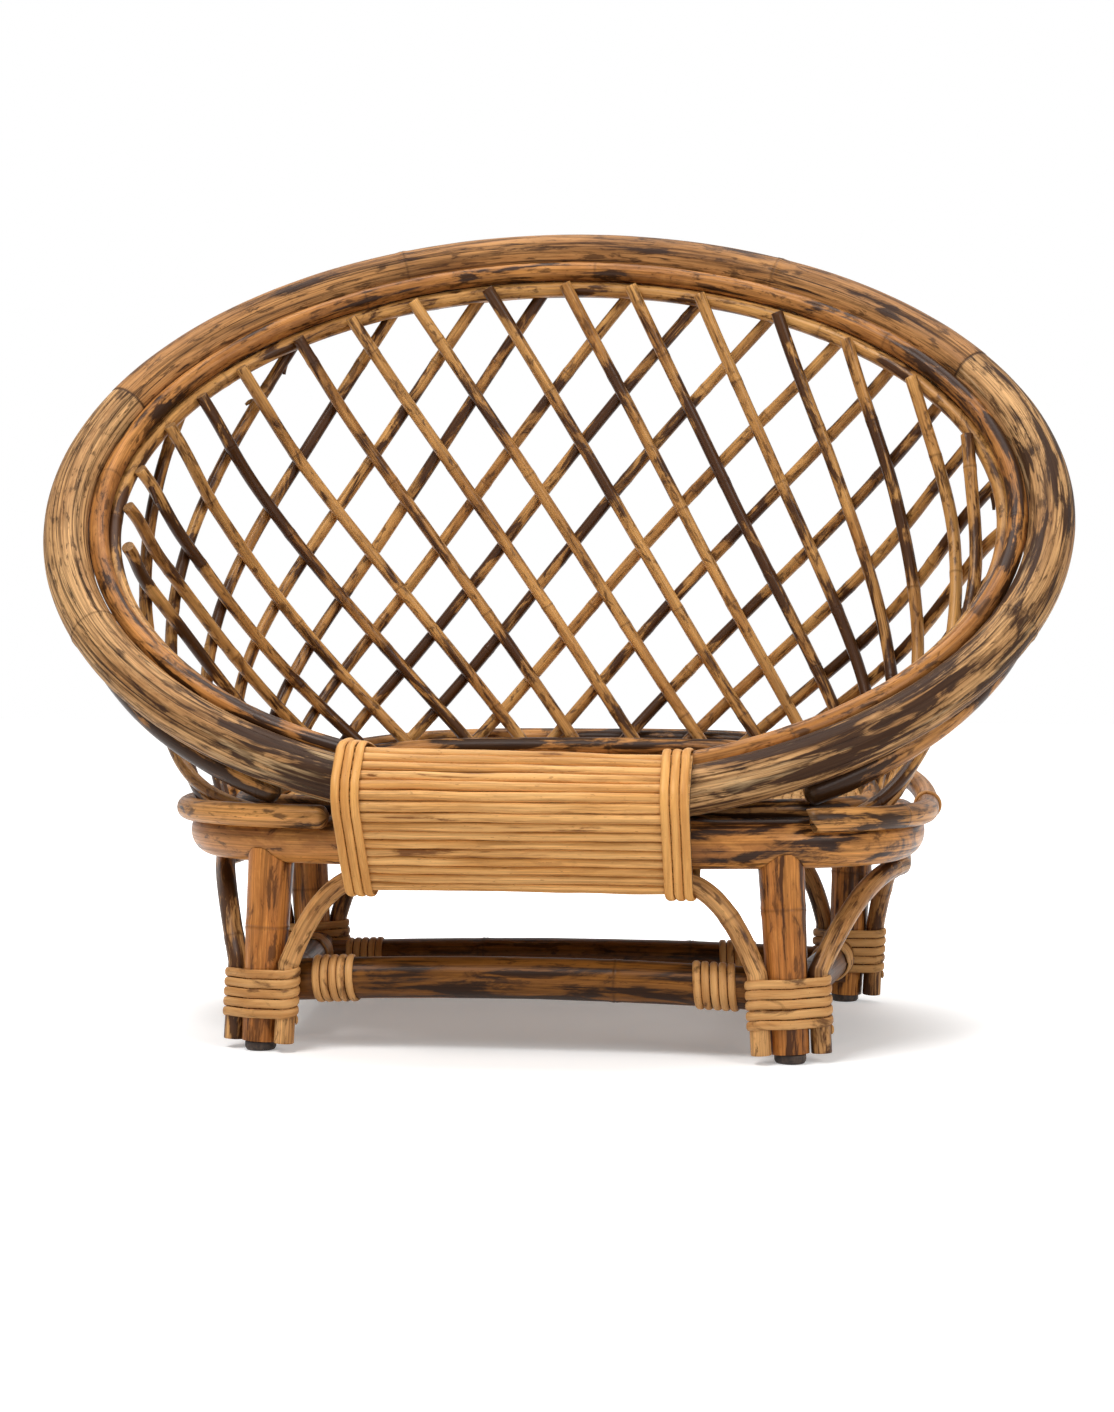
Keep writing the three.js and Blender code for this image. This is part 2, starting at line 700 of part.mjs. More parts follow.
// Directions in which a band round the circles has its flats, with steps no larger than maxStep
function wrapDirections(circles, maxStep) {
  const flats = [];
  const support = (angle) => Math.max(...circles.map((circle) => reach(circle, angle)));
  circles.forEach((from, first) => circles.forEach((to, second) => {
    if (first === second) {
      return;
    }
    const [across, rise] = [to[0] - from[0], to[1] - from[1]];
    const angle = Math.atan2(rise, across) + Math.acos((from[2] - to[2]) / Math.hypot(across, rise));
    if (support(angle) - reach(from, angle) < tolerance) {
      flats.push((angle + fullTurn) % fullTurn);
    }
  }));
  flats.sort((a, b) => a - b);
  const nearest = maxStep * nearShare;
  const apart = flats.filter((angle, index) => index === 0 || angle - flats[index - 1] > nearest);
  const sorted = apart.length ? apart : [0];
  return sorted.flatMap((angle, index) => {
    const next = index + 1 < sorted.length ? sorted[index + 1] : sorted[0] + fullTurn;
    const steps = Math.max(Math.ceil((next - angle) / maxStep), 1);
    return anglesBetween(angle, next, steps).slice(0, steps);
  });
}

function reach(circle, angle) {
  return circle[0] * Math.cos(angle) + circle[1] * Math.sin(angle) + circle[2];
}

// Corner between two neighbouring flats of a band that lies off the circles by offset
function wrapCorner(circles, angle, next, offset) {
  const near = Math.max(...circles.map((circle) => reach(circle, angle))) + offset;
  const far = Math.max(...circles.map((circle) => reach(circle, next))) + offset;
  const spread = Math.sin(next - angle);
  return [
    (near * Math.sin(next) - far * Math.sin(angle)) / spread,
    (far * Math.cos(angle) - near * Math.cos(next)) / spread,
  ];
}

// Where a section point lies, by the axis that the winding goes round
const placeAlong = {
  x: (along, first, second) => new THREE.Vector3(along, first, second),
  y: (along, first, second) => new THREE.Vector3(first, along, second),
  z: (along, first, second) => new THREE.Vector3(first, second, along),
};

// Flat cane wound in one unbroken helix round the circles that circlesAt(along) gives
function winding(name, axis, circlesAt, start, { width, pitch, turns, maxStep, seat }) {
  const directions = wrapDirections(circlesAt(start + (pitch * turns) / 2), maxStep);
  const steps = directions.length;
  const sections = Array.from({ length: turns * steps + 1 }, (_, step) => {
    const along = start + (pitch * step) / steps;
    const angle = directions[step % steps];
    const next = directions[(step + 1) % steps] + (step % steps === steps - 1 ? fullTurn : 0);
    const corner = (edge, offset) => {
      const place = along + (edge * width) / 2;
      const [first, second] = wrapCorner(circlesAt(place), angle, next, offset);
      return placeAlong[axis](place, first, second);
    };
    const outer = seat + caneThickness;
    return [corner(-1, seat), corner(-1, outer), corner(1, outer), corner(1, seat)];
  });
  const gap = turnGap(sections, Math.ceil(steps / 2));
  console.log(`${name}: least gap between turns ${gap.toFixed(2)} mm`);
  if (gap <= leastTurnGap) {
    throw new Error(`${name} turns lie too close`);
  }
  return skin(sections);
}

// Least distance between points of sections that lie at least apart sections away
function turnGap(sections, apart) {
  let least = Infinity;
  sections.forEach((section, index) => {
    sections.slice(index + apart).forEach((other) => {
      section.forEach((point) => other.forEach((far) => {
        least = Math.min(least, point.distanceTo(far));
      }));
    });
  });
  return least;
}

// Body inside a binding, used to cope what ends against it
function bundlePrism(end, hand) {
  const middle = legCaneStart + (legCanePitch * legCaneTurns) / 2;
  const heights = [0, middle, middle * 2];
  const directions = wrapDirections(bundleAt(end, hand, middle), legCane.maxStep);
  const offset = caneThickness + ringClearance;
  return skin(heights.map((height) => directions.map((angle, index) => {
    const last = index === directions.length - 1;
    const next = last ? directions[0] + fullTurn : directions[index + 1];
    const [x, y] = wrapCorner(bundleAt(end, hand, height), angle, next, offset);
    return new THREE.Vector3(x, y, height);
  })));
}

// Stretchers run between legs, behind or beside their middles
function endStretcherPoint(end, share) {
  const height = end.out < 0 ? frontStretcherHeight : rearStretcherHeight;
  const from = legMiddle(end, -1, height);
  const to = legMiddle(end, 1, height);
  const point = from.lerp(to, share);
  point.y -= end.out * endStretcherInset;
  point.z += stretcherCrown * 4 * share * (1 - share);
  return point;
}

function sideStretcherPoint(hand, share) {
  const from = legMiddle(ends[0], hand, sideStretcherHeight);
  const to = legMiddle(ends[1], hand, sideStretcherHeight);
  const point = from.lerp(to, share);
  point.x -= hand * sideStretcherInset;
  return point;
}

function stretcherPoints(pointAt) {
  return anglesBetween(0, 1, stretcherSteps).map(pointAt);
}

function stretcher(pointAt, radius) {
  return pole(stretcherPoints(pointAt), () => up, radius, poleSides);
}

function endStretcherRadius(end) {
  return (end.out < 0 ? frontStretcherDiameter : rearStretcherDiameter) / 2;
}

// Circle of a pole where a plane across an axis meets it; its points run along that axis
function crossing({ points, radius }, axis, place) {
  const index = points.findIndex((point, order) => order > 0 && point[axis] >= place);
  const [before, after] = [points[index - 1], points[index]];
  const run = after[axis] - before[axis];
  const centre = before.clone().lerp(after, (place - before[axis]) / run);
  const first = axis === 'x' ? centre.y : centre.x;
  return [first, centre.z, (radius * after.distanceTo(before)) / run];
}

ends.forEach((end) => {
  hands.forEach(({ name, hand }) => {
    addNode(`leg_${end.name}_${name}`, leg(end, hand), 'honeyPole');
    addNode(`glide_${end.name}_${name}`, glide(end, hand), 'glide');
    const label = `leg_binding_${end.name}_${name}`;
    const circlesAt = (height) => bundleAt(end, hand, height);
    addNode(label, winding(label, 'z', circlesAt, legCaneStart, legCane), 'cane');
  });
  addNode(`brace_hoop_${end.name}`, brace(endBracePoints(end), new THREE.Vector3(0, 1, 0)), 'honeyPole');
});
hands.forEach(({ name, hand }) => {
  addNode(`brace_hoop_${name}`, brace(sideBracePoints(hand), new THREE.Vector3(1, 0, 0)), 'honeyPole');
});

ends.forEach((end) => {
  const pointAt = (share) => endStretcherPoint(end, share);
  const radius = endStretcherRadius(end);
  const prisms = hands.map(({ hand }) => bundlePrism(end, hand));
  addNode(`stretcher_${end.name}`, cut(stretcher(pointAt, radius), prisms), 'honeyPole');
  hands.forEach(({ name, hand }) => {
    const rearReach = hand < 0 ? otherCaneReach : rearRightCaneReach;
    const reachIn = end.out < 0 ? frontCaneReach : rearReach;
    const legX = pointAt(hand < 0 ? 0 : 1).x;
    const windingLength = stretcherCanePitch * stretcherCaneTurns;
    const start = hand < 0 ? legX + reachIn : legX - reachIn - windingLength;
    const label = `stretcher_binding_${end.name}_${name}`;
    const item = { points: stretcherPoints(pointAt), radius };
    const circlesAt = (place) => [crossing(item, 'x', place)];
    addNode(label, winding(label, 'x', circlesAt, start, stretcherCane), 'cane');
  });
});

hands.forEach(({ name, hand }) => {
  const pointAt = (share) => sideStretcherPoint(hand, share);
  const radius = sideStretcherDiameter / 2;
  const prisms = ends.map((end) => bundlePrism(end, hand));
  const neighbours = ends.map((end) => stretcher(
    (share) => endStretcherPoint(end, share), endStretcherRadius(end) + clearance,
  ));
  addNode(`stretcher_${name}`, cut(stretcher(pointAt, radius), [...prisms, ...neighbours]), 'honeyPole');
  ends.forEach((end) => {
    const legY = pointAt(end.out < 0 ? 0 : 1).y;
    const windingLength = stretcherCanePitch * stretcherCaneTurns;
    const start = end.out < 0 ? legY + otherCaneReach : legY - otherCaneReach - windingLength;
    const label = `stretcher_binding_${name}_${end.name}`;
    const item = { points: stretcherPoints(pointAt), radius };
    const circlesAt = (place) => [crossing(item, 'y', place)];
    addNode(label, winding(label, 'y', circlesAt, start, stretcherCane), 'cane');
  });
});

// What the front panel and its bands go round, as circles [y, z, radius] at one X
const frontRingAngles = anglesBetween(Math.PI, fullTurn, ringSteps / 2);
const frontHoopAngles = anglesBetween(Math.PI, fullTurn, hoopSteps / 2);
const frontPoles = [
  { points: frontRingAngles.map((angle) => rimPoint(angle)), radius: rimRadius },
  { points: frontHoopAngles.map((angle) => basePlan(angle).setZ(baseHeight)), radius: poleRadius },
];
const bandOnlyPoles = [
  { points: frontRingAngles.map((angle) => ringPoint(innerRingOffset, angle)), radius: innerRingRadius },
  { points: frontRingAngles.map((angle) => ringPoint(latticeRingOffset, angle)), radius: latticeRingRadius },
  { points: frontHoopAngles.map(seatInnerPoint), radius: seatInnerRadius },
  { points: endBracePoints(ends[0]), radius: braceRadius },
];

// Reeds lie straight, so each pole behind them counts as wide as it bulges over their length
const panelHalfWidth = baseHalfWidth - legFrontInset - panelLegGap;
const panelEnds = [panelCentre - panelHalfWidth, panelCentre + panelHalfWidth];

function straightened(item, x) {
  const [first, last] = panelEnds.map((place) => crossing(item, 'x', place));
  const slope = [0, 1].map((part) => (last[part] - first[part]) / (panelHalfWidth * 2));
  return anglesBetween(...panelEnds, panelSteps).map((place) => {
    const [y, z, radius] = crossing(item, 'x', place);
    return [y + slope[0] * (x - place), z + slope[1] * (x - place), radius];
  });
}

function panelCircles(x) {
  const run = basePlanAtX(panelCentre, true);
  return [
    ...frontPoles.flatMap((item) => straightened(item, x)),
    [run.y, braceRunHeight, braceRadius],
  ];
}

// Bands go round the reeds in front and round the poles behind
function bandCircles(x) {
  const spread = reedCover / Math.cos(reedCoverStep / 2);
  const steps = Math.round((reedCoverEnd - quarterTurn) / reedCoverStep);
  const shifts = anglesBetween(quarterTurn, reedCoverEnd, steps);
  return [
    ...panelCircles(x).flatMap(([y, z, radius]) => shifts.map((angle) => (
      [y + spread * Math.cos(angle), z + spread * Math.sin(angle), radius]
    ))),
    ...[...frontPoles, ...bandOnlyPoles].map((item) => crossing(item, 'x', x)),
  ];
}

// Outline of the panel at one X: along the poles inside, one crest for each reed outside
function panelPath(x, offset) {
  const directions = anglesBetween(panelTopDirection, panelBottomDirection, panelPathSteps);
  const circles = panelCircles(x);
  return directions.slice(1).map((next, index) => wrapCorner(circles, directions[index], next, offset));
}

function alongPath(path, shares) {
  const lengths = [0];
  for (let index = 1; index < path.length; index += 1) {
    const [y, z] = path[index];
    lengths.push(lengths[index - 1] + Math.hypot(y - path[index - 1][0], z - path[index - 1][1]));
  }
  const total = lengths[lengths.length - 1];
  return shares.map((share) => {
    const place = share * total;
    const found = lengths.findIndex((length) => length >= place - tolerance);
    const index = Math.min(found, path.length - 1);
    if (index < 1) {
      return path[0];
    }
    const part = (place - lengths[index - 1]) / (lengths[index] - lengths[index - 1]);
    const [from, to] = [path[index - 1], path[index]];
    return [from[0] + (to[0] - from[0]) * part, from[1] + (to[1] - from[1]) * part];
  });
}

function panelSection(x) {
  const groove = panelPath(x, panelSeat + reedDiameter * reedGrooveShare);
  const flank = panelPath(x, panelSeat + reedDiameter * reedFlankShare);
  const crest = panelPath(x, panelSeat + reedDiameter);
  const outer = Array.from({ length: reedCount }, (_, reed) => {
    const at = (share) => (reed + share) / reedCount;
    return [
      ...alongPath(groove, [at(0)]),
      ...alongPath(flank, [at(reedNearShare)]),
      ...alongPath(crest, [at(reedMiddleShare)]),
      ...alongPath(flank, [at(reedFarShare)]),
    ];
  }).flat();
  const front = [...outer, ...alongPath(groove, [1])];
  const back = alongPath(panelPath(x, panelSeat), anglesBetween(1, 0, front.length - 1));
  return [...front, ...back];
}

const panelRings = panelEnds.map((x) => panelSection(x).map(([y, z]) => new THREE.Vector3(x, y, z)));
addNode('front_reed_panel', skin(panelRings, false, true), 'paleReed');

const bandReach = panelHalfWidth - (bandCanePitch * (bandCaneTurns - 1) + bandCaneWidth) / 2;
hands.forEach(({ name, hand }) => {
  const middle = panelCentre + hand * bandReach;
  const start = middle - (bandCanePitch * bandCaneTurns) / 2;
  const label = `panel_band_${name}`;
  addNode(label, winding(label, 'x', bandCircles, start, bandCane), 'cane');
});

// Seat deck: a woven plate inside the inner hoop, notched where the bands pass
function deckPlate() {
  const hoopSide = Math.sqrt(seatInnerRadius ** 2 - (deckDrop - deckThickness / 2) ** 2);
  const reachIn = seatInnerOffset + hoopSide + clearance;
  const rows = anglesBetween(-quarterTurn, quarterTurn, hoopSteps / 2).slice(1, -1);
  return skin(rows.map((angle) => {
    const edge = basePlan(angle).addScaledVector(basePlanNormal(angle), -reachIn);
    const middle = baseHeight + seatInnerLift - deckDrop + seatRise(angle, seatInnerRearRise);
    const [low, high] = [middle - deckThickness / 2, middle + deckThickness / 2];
    return [
      new THREE.Vector3(-edge.x, edge.y, low),
      new THREE.Vector3(edge.x, edge.y, low),
      new THREE.Vector3(edge.x, edge.y, high),
      new THREE.Vector3(-edge.x, edge.y, high),
    ];
  }));
}

function deckNotch(hand) {
  const middle = panelCentre + hand * bandReach;
  const halfWidth = (bandCanePitch * bandCaneTurns + bandCaneWidth) / 2 + deckNotchMargin;
  const inner = -(baseHalfDepth - seatInnerOffset - seatInnerRadius);
  return block(
    new THREE.Vector3(middle - halfWidth, inner - trimOverrun, baseHeight - trimOverrun),
    new THREE.Vector3(middle + halfWidth, inner + caneThickness + deckNotchMargin, baseHeight + trimOverrun),
  );
}

addNode('seat_deck', cut(deckPlate(), hands.map(({ hand }) => deckNotch(hand))), 'deckCane');

// The part's origin is the middle of its outline on the floor
const part = new THREE.Group();
part.add(chair);
const outline = new THREE.Box3().setFromObject(chair);
const outlineMiddle = outline.getCenter(new THREE.Vector3());
chair.position.set(-outlineMiddle.x, -outlineMiddle.y, -outline.min.z);

export default part;
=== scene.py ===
"""Looks of an oval rattan basket chair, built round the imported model."""

import math

import bmesh
import bpy
import numpy as np
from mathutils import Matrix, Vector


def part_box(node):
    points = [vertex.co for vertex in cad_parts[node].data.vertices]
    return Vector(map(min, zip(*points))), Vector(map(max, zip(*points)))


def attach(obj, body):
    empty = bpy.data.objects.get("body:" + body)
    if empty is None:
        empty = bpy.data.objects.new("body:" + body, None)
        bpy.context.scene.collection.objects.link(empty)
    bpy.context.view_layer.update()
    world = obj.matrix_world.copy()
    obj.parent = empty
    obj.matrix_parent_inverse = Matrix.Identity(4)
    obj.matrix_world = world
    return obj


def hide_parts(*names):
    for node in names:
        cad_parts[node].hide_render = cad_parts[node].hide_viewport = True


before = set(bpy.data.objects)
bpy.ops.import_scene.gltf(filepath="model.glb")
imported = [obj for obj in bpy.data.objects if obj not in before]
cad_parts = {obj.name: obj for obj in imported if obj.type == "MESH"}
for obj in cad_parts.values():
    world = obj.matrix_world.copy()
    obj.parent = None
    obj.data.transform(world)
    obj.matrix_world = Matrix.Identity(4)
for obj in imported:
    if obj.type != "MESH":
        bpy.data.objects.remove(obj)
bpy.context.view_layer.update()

TURN = 2 * math.pi
PER_METRE = 1000
TINY = 1e-12
NUDGE = 0.0044  # radians or share to each side of a place, to find a curve's direction there
UP = np.array([0.0, 0.0, 1.0])
DOWN = -UP

# Everything is worked out in millimetres about the middle of the base ring
ring_low, ring_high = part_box("base_ring")
SHIFT = np.array([(ring_low.x + ring_high.x) / 2, (ring_low.y + ring_high.y) / 2, 0.0]) * PER_METRE


def rad(degrees):
    return math.radians(degrees)


def unit(v):
    v = np.asarray(v, float)
    return v / np.maximum(np.linalg.norm(v, axis=-1, keepdims=True), TINY)


def row(value, count):
    return np.broadcast_to(np.asarray(value, float), (count,)).copy()


def spans(points):
    return np.linalg.norm(np.diff(points, axis=0), axis=1)


def travelled(points):
    """Distance along the points, from 0 at the first."""
    return np.concatenate([[0], np.cumsum(spans(points))])


def between(a, b, t):
    return a + (b - a) * np.asarray(t)[..., None]


# Sizes in millimetres, as in the model
CLEAR = 0.3
RING_CLEAR = 0.6
POLE_R = 22.5
BASE_W, BASE_D, BASE_H, BASE_SQ = 336.0, 226.0, 197.0, 3.5
RIM_R, RIM_W, RIM_S, RIM_TILT = 22.5, 490.0, 378.0, rad(48.7)
RIM_REACH, RIM_SEAT = 26.0, 0.7
BASKET_TURN, BASKET_SHIFT = rad(4.5), -8.5
JOINT_LEFT, JOINT_RIGHT = rad(157.5), rad(30)
INNER_R, LATTICE_R, UNDER_R, SEAT_OUT_R, SEAT_IN_R = 10.0, 8.5, 12.0, 11.0, 10.0
INNER_DIR, INNER_ROLL, LATTICE_DIR = rad(177), rad(6), rad(236)
UNDER_DIR, UNDER_SWING = rad(245), rad(52)
UNDER_ENDS = (rad(-60), rad(240))
SEAT_ENDS = (rad(-50), rad(240))
SEAT_OUT_RISE, SEAT_IN_RISE, SEAT_IN_OFF, SEAT_IN_LIFT = 54.0, 41.0, 30.5, 29.0
ROD_R, ROD_GAP, ROD_SINK, ROD_HEAD_GAP = 6.5, 1.8, 2.5, 1.15
ROD_OVERRUN, ROD_HEAD_SHARE, ROD_SETTLE_SHARE = 12.0, 0.03, 0.25
BULGE_OUT, BULGE_DOWN, BULGE_SIDE, FOOT_INSET = 19.0, 37.0, 0.35, 7.0
# Heads and feet of the rods, as shares of half their curve's length, from the rear middle
INNER_TOPS = [0.42, 0.337, 0.263, 0.194, 0.121, 0.059, 0, -0.069, -0.137,
              -0.195, -0.247, -0.307, -0.354, -0.398, -0.454, -0.498, -0.543]
INNER_FEET = [0.657, 0.59, 0.448, 0.398, 0.361, 0.314, 0.261, 0.203, 0.134,
              0.058, -0.01, -0.068, -0.128, -0.197, -0.246, -0.294, -0.346]
OUTER_TOPS = [-0.36, -0.243, -0.152, -0.075, -0.02, 0.056, 0.118, 0.182,
              0.247, 0.301, 0.357, 0.405, 0.454, 0.505, 0.55]
OUTER_FEET = [-0.79, -0.69, -0.545, -0.472, -0.402, -0.358, -0.3, -0.224,
              -0.145, -0.058, 0.024, 0.093, 0.155, 0.198, 0.259]
LEG_TOP_R, LEG_FOOT_R = 21.5, 17.5
LEG_X = {"front": 237.0, "rear": 295.0}
LEG_SPLAY = {"front": 10.0, "rear": -10.0}
LEG_SHIFT, LEG_SPLAY_Y, SADDLE = -9.0, 8.0, 11.0
GLIDE_R, GLIDE_H = 14.5, 8.0
BRACE_R, BRACE_FOOT, BRACE_BEND = 9.5, 8.5, 80.0
END_IN, END_OUT, END_CROWN, END_CONTROL = 25.5, 14.0, 97.0, 38.0
SIDE_OUT, SIDE_BACK, SIDE_CROWN_Y, SIDE_XS, SIDE_YS = 28.0, 8.0, 40.0, 0.5, 0.27
STRETCH = {"front": (19.5, 62.0), "rear": (18.0, 39.0), "side": (17.5, 50.0)}
END_INSET, SIDE_INSET, CROWN = 16.0, 7.0, 7.0
CANE_T = 2.4
LEG_CANE = (8.4, 9.2, 5)
STRETCH_CANE = (7.2, 8.0, 5)
BAND_CANE = (8.1, 8.9, 3)
LEG_CANE_START, FRONT_REACH, OTHER_REACH, REAR_RIGHT_REACH, BAND_SEAT = 29.0, 46.0, 42.0, 92.0, 0.9
PANEL_X, PANEL_HALF, PANEL_SEAT, REED, REEDS = -8.5, 160.0, 0.7, 9.0, 16
DECK_T, DECK_DROP = 4.4, 9.0
ENDS = {"front": -1, "rear": 1}
HANDS = {"left": -1, "right": 1}


# Curves of the model
def base_plan(a):
    c, s = np.cos(a), np.sin(a)
    spread = (np.abs(c) ** BASE_SQ + np.abs(s) ** BASE_SQ) ** (1 / BASE_SQ)
    return np.stack([BASE_W * c / spread, BASE_D * s / spread, np.zeros_like(c)], -1)


def base_normal(a):
    d = unit(base_plan(a + NUDGE) - base_plan(a - NUDGE))
    return np.stack([d[..., 1], -d[..., 0], np.zeros_like(d[..., 0])], -1)


def base_line(a):
    return base_plan(a) + BASE_H * UP


def base_at_x(x, front):
    y = BASE_D * (1 - abs(x / BASE_W) ** BASE_SQ) ** (1 / BASE_SQ)
    return np.array([x, -y if front else y, 0.0])


def seat_rise(a, rear_rise):
    return rear_rise * (np.maximum(base_plan(a)[..., 1], 0) / BASE_D) ** 2


def about_z(v, angle):
    c, s = math.cos(angle), math.sin(angle)
    v = np.asarray(v, float)
    return np.array([c * v[0] - s * v[1], s * v[0] + c * v[1], v[2]])


RIM_SLOPE = about_z([0, math.cos(RIM_TILT), math.sin(RIM_TILT)], BASKET_TURN)
RIM_ACROSS = about_z([1, 0, 0], BASKET_TURN)
RIM_NORMAL = np.cross(RIM_ACROSS, RIM_SLOPE)
RIM_FRONT_H = BASE_H + math.sqrt((RIM_R + POLE_R + RIM_SEAT) ** 2 - RIM_REACH ** 2)
RIM_MID = about_z([
    0,
    -(BASE_D + RIM_REACH) + RIM_S * math.cos(RIM_TILT),
    RIM_FRONT_H + RIM_S * math.sin(RIM_TILT),
], BASKET_TURN) + np.array([BASKET_SHIFT, 0, 0])


def rim_outward(a):
    return unit(np.cos(a)[..., None] / RIM_W * RIM_ACROSS + np.sin(a)[..., None] / RIM_S * RIM_SLOPE)


def rim_point(a, outward=0.0, lift=0.0):
    a = np.asarray(a, float)
    outward, lift = np.broadcast_to(outward, a.shape), np.broadcast_to(lift, a.shape)
    across, up = RIM_W * np.cos(a)[..., None] * RIM_ACROSS, RIM_S * np.sin(a)[..., None] * RIM_SLOPE
    return RIM_MID + across + up + outward[..., None] * rim_outward(a) + lift[..., None] * RIM_NORMAL


def inner_offset(a):
    d = INNER_DIR - INNER_ROLL * np.sin(a)
    r = RIM_R + INNER_R + RING_CLEAR
    return r * np.cos(d), r * np.sin(d)


def lattice_offset(a):
    o, l = inner_offset(a)
    r = INNER_R + LATTICE_R + RING_CLEAR
    return o + r * math.cos(LATTICE_DIR), l + r * math.sin(LATTICE_DIR)


def under_offset(a):
    d = UNDER_DIR + UNDER_SWING * np.maximum(-np.sin(a), 0)
    r = RIM_R + UNDER_R + RING_CLEAR
    return r * np.cos(d), r * np.sin(d)


ROD_LAYER = ROD_R + ROD_GAP / 2
SEAT_OUT_OFF = ROD_LAYER + ROD_R + CLEAR + SEAT_OUT_R


def seat_outer(a):
    lift = math.sqrt((POLE_R + SEAT_OUT_R + RING_CLEAR) ** 2 - SEAT_OUT_OFF ** 2)
    p = base_plan(a) + SEAT_OUT_OFF * base_normal(a)
    p[..., 2] = BASE_H + lift + seat_rise(a, SEAT_OUT_RISE)
    return p


def seat_inner(a):
    p = base_plan(a) - SEAT_IN_OFF * base_normal(a)
    p[..., 2] = BASE_H + SEAT_IN_LIFT + seat_rise(a, SEAT_IN_RISE)
    return p


WALL_FOOT = BASE_H + POLE_R


def wall_point(a, f):
    a, f = np.asarray(a, float), np.asarray(f, float)
    head = rim_point(a, *lattice_offset(a))
    n = base_normal(a)
    foot = base_plan(a) - FOOT_INSET * n
    foot[..., 2] = WALL_FOOT + seat_rise(a, SEAT_IN_RISE)
    rear = np.maximum(np.sin(a), 0)
    belly = 4 * f * (1 - f) * (BULGE_SIDE + (1 - BULGE_SIDE) * rear)
    return (head + (foot - head) * f[..., None] + BULGE_OUT * belly[..., None] * n
            + BULGE_DOWN * belly[..., None] * DOWN)


def wall_normal(a, f):
    a, f = np.asarray(a, float), np.asarray(f, float)
    around = wall_point(a + NUDGE, f) - wall_point(a - NUDGE, f)
    drop = wall_point(a, f + NUDGE) - wall_point(a, f - NUDGE)
    return unit(np.cross(drop, around))


def smoothstep(x, lo, hi):
    t = np.clip((x - lo) / (hi - lo), 0, 1)
    return t * t * (3 - 2 * t)


def rod_line(top, foot, side, head_share, count=220):
    """Points and wall normals of a rod, outside the wall (side 1) or inside it (side -1)."""
    foot_share = 1 + ROD_OVERRUN / np.linalg.norm(wall_point(foot, 0) - wall_point(foot, 1))
    f = np.linspace(-head_share, foot_share, count)
    a = top + (foot - top) * f
    head_layer = ROD_R + LATTICE_R + (-ROD_SINK if side > 0 else ROD_HEAD_GAP)
    layer = head_layer + (ROD_LAYER - head_layer) * smoothstep(f, ROD_HEAD_SHARE, ROD_SETTLE_SHARE)
    n = wall_normal(a, f)
    p = wall_point(a, f) + side * layer[:, None] * n
    keep = p[:, 2] > WALL_FOOT + CLEAR
    last = np.argmin(keep) if not keep.all() else count
    return p[:max(last, 3)], n[:max(last, 3)]


def angle_at(curve, share, count=2880):
    """Angle at a share of half the curve's length from the rear middle."""
    a = TURN / 4 - math.copysign(1, share) * np.linspace(0, TURN, count + 1)
    s = travelled(curve(a))
    return float(np.interp(abs(share) * s[-1] / 2, s, a))


LEG_TOP = BASE_H - POLE_R + SADDLE
LEG_BOTTOM = GLIDE_H + CLEAR


def leg_mid(end, hand, h):
    top = base_at_x(LEG_SHIFT + hand * LEG_X[end], end == "front")
    lean = (BASE_H - h) / (BASE_H - LEG_BOTTOM)
    return top + np.array([hand * LEG_SPLAY[end] * lean, ENDS[end] * LEG_SPLAY_Y * lean, h])


def leg_radius(h):
    t = (h - LEG_BOTTOM) / (LEG_TOP - LEG_BOTTOM)
    return LEG_FOOT_R + (LEG_TOP_R - LEG_FOOT_R) * t


def end_foot(end, hand, h):
    return leg_mid(end, hand, h) + np.array([-hand * END_IN, ENDS[end] * END_OUT, 0])


def side_foot(end, hand, h):
    return leg_mid(end, hand, h) + np.array([hand * SIDE_OUT, -ENDS[end] * SIDE_BACK, 0])


RUN_H = BASE_H - POLE_R - BRACE_R - RING_CLEAR


def bezier(a, b, c, count=40):
    t = np.linspace(0, 1, count)[:, None]
    return (1 - t) ** 2 * a + 2 * t * (1 - t) * b + t * t * c


def half_brace(foot_at, control, crown):
    foot = between(foot_at(BRACE_FOOT), foot_at(BRACE_BEND), np.linspace(0, 1, 20))
    return np.concatenate([foot[:-1], bezier(foot_at(BRACE_BEND), control, crown)])


def at_height(p, z):
    return np.array([p[0], p[1], z])


def end_brace(end):
    front = end == "front"
    sides = []
    for hand in (-1, 1):
        top = LEG_SHIFT + hand * LEG_X[end]
        crown = at_height(base_at_x(top - hand * END_CROWN, front), RUN_H)
        control = at_height(base_at_x(top + hand * (END_IN - END_CONTROL * 2), front), RUN_H)
        sides.append(half_brace(lambda h, hand=hand: end_foot(end, hand, h), control, crown))
    middle = base_at_x(LEG_SHIFT, front)
    run = between(sides[0][-1], sides[1][-1], np.linspace(0, 1, 30))[1:-1]
    aside = (np.abs(run[:, 0] - middle[0]) / max(abs(sides[0][-1][0] - middle[0]), 1)) ** 2
    run[:, 1] += (middle[1] - run[:, 1]) * (1 - aside)
    return np.concatenate([sides[0], run, sides[1][::-1]])


def side_brace(hand):
    sides = []
    for end, out in ENDS.items():
        crown = np.array([hand * BASE_W, out * SIDE_CROWN_Y, RUN_H])
        bend = side_foot(end, hand, BRACE_BEND)
        control = bend + (crown - bend) * [SIDE_XS, SIDE_YS, 1]
        sides.append(half_brace(lambda h, end=end: side_foot(end, hand, h), control, crown))
    run = between(sides[0][-1], sides[1][-1], np.linspace(0, 1, 12))[1:-1]
    return np.concatenate([sides[0], run, sides[1][::-1]])


def end_stretcher(end, t):
    h = STRETCH[end][1]
    p = between(leg_mid(end, -1, h), leg_mid(end, 1, h), t)
    p[..., 1] -= ENDS[end] * END_INSET
    p[..., 2] += CROWN * 4 * t * (1 - t)
    return p


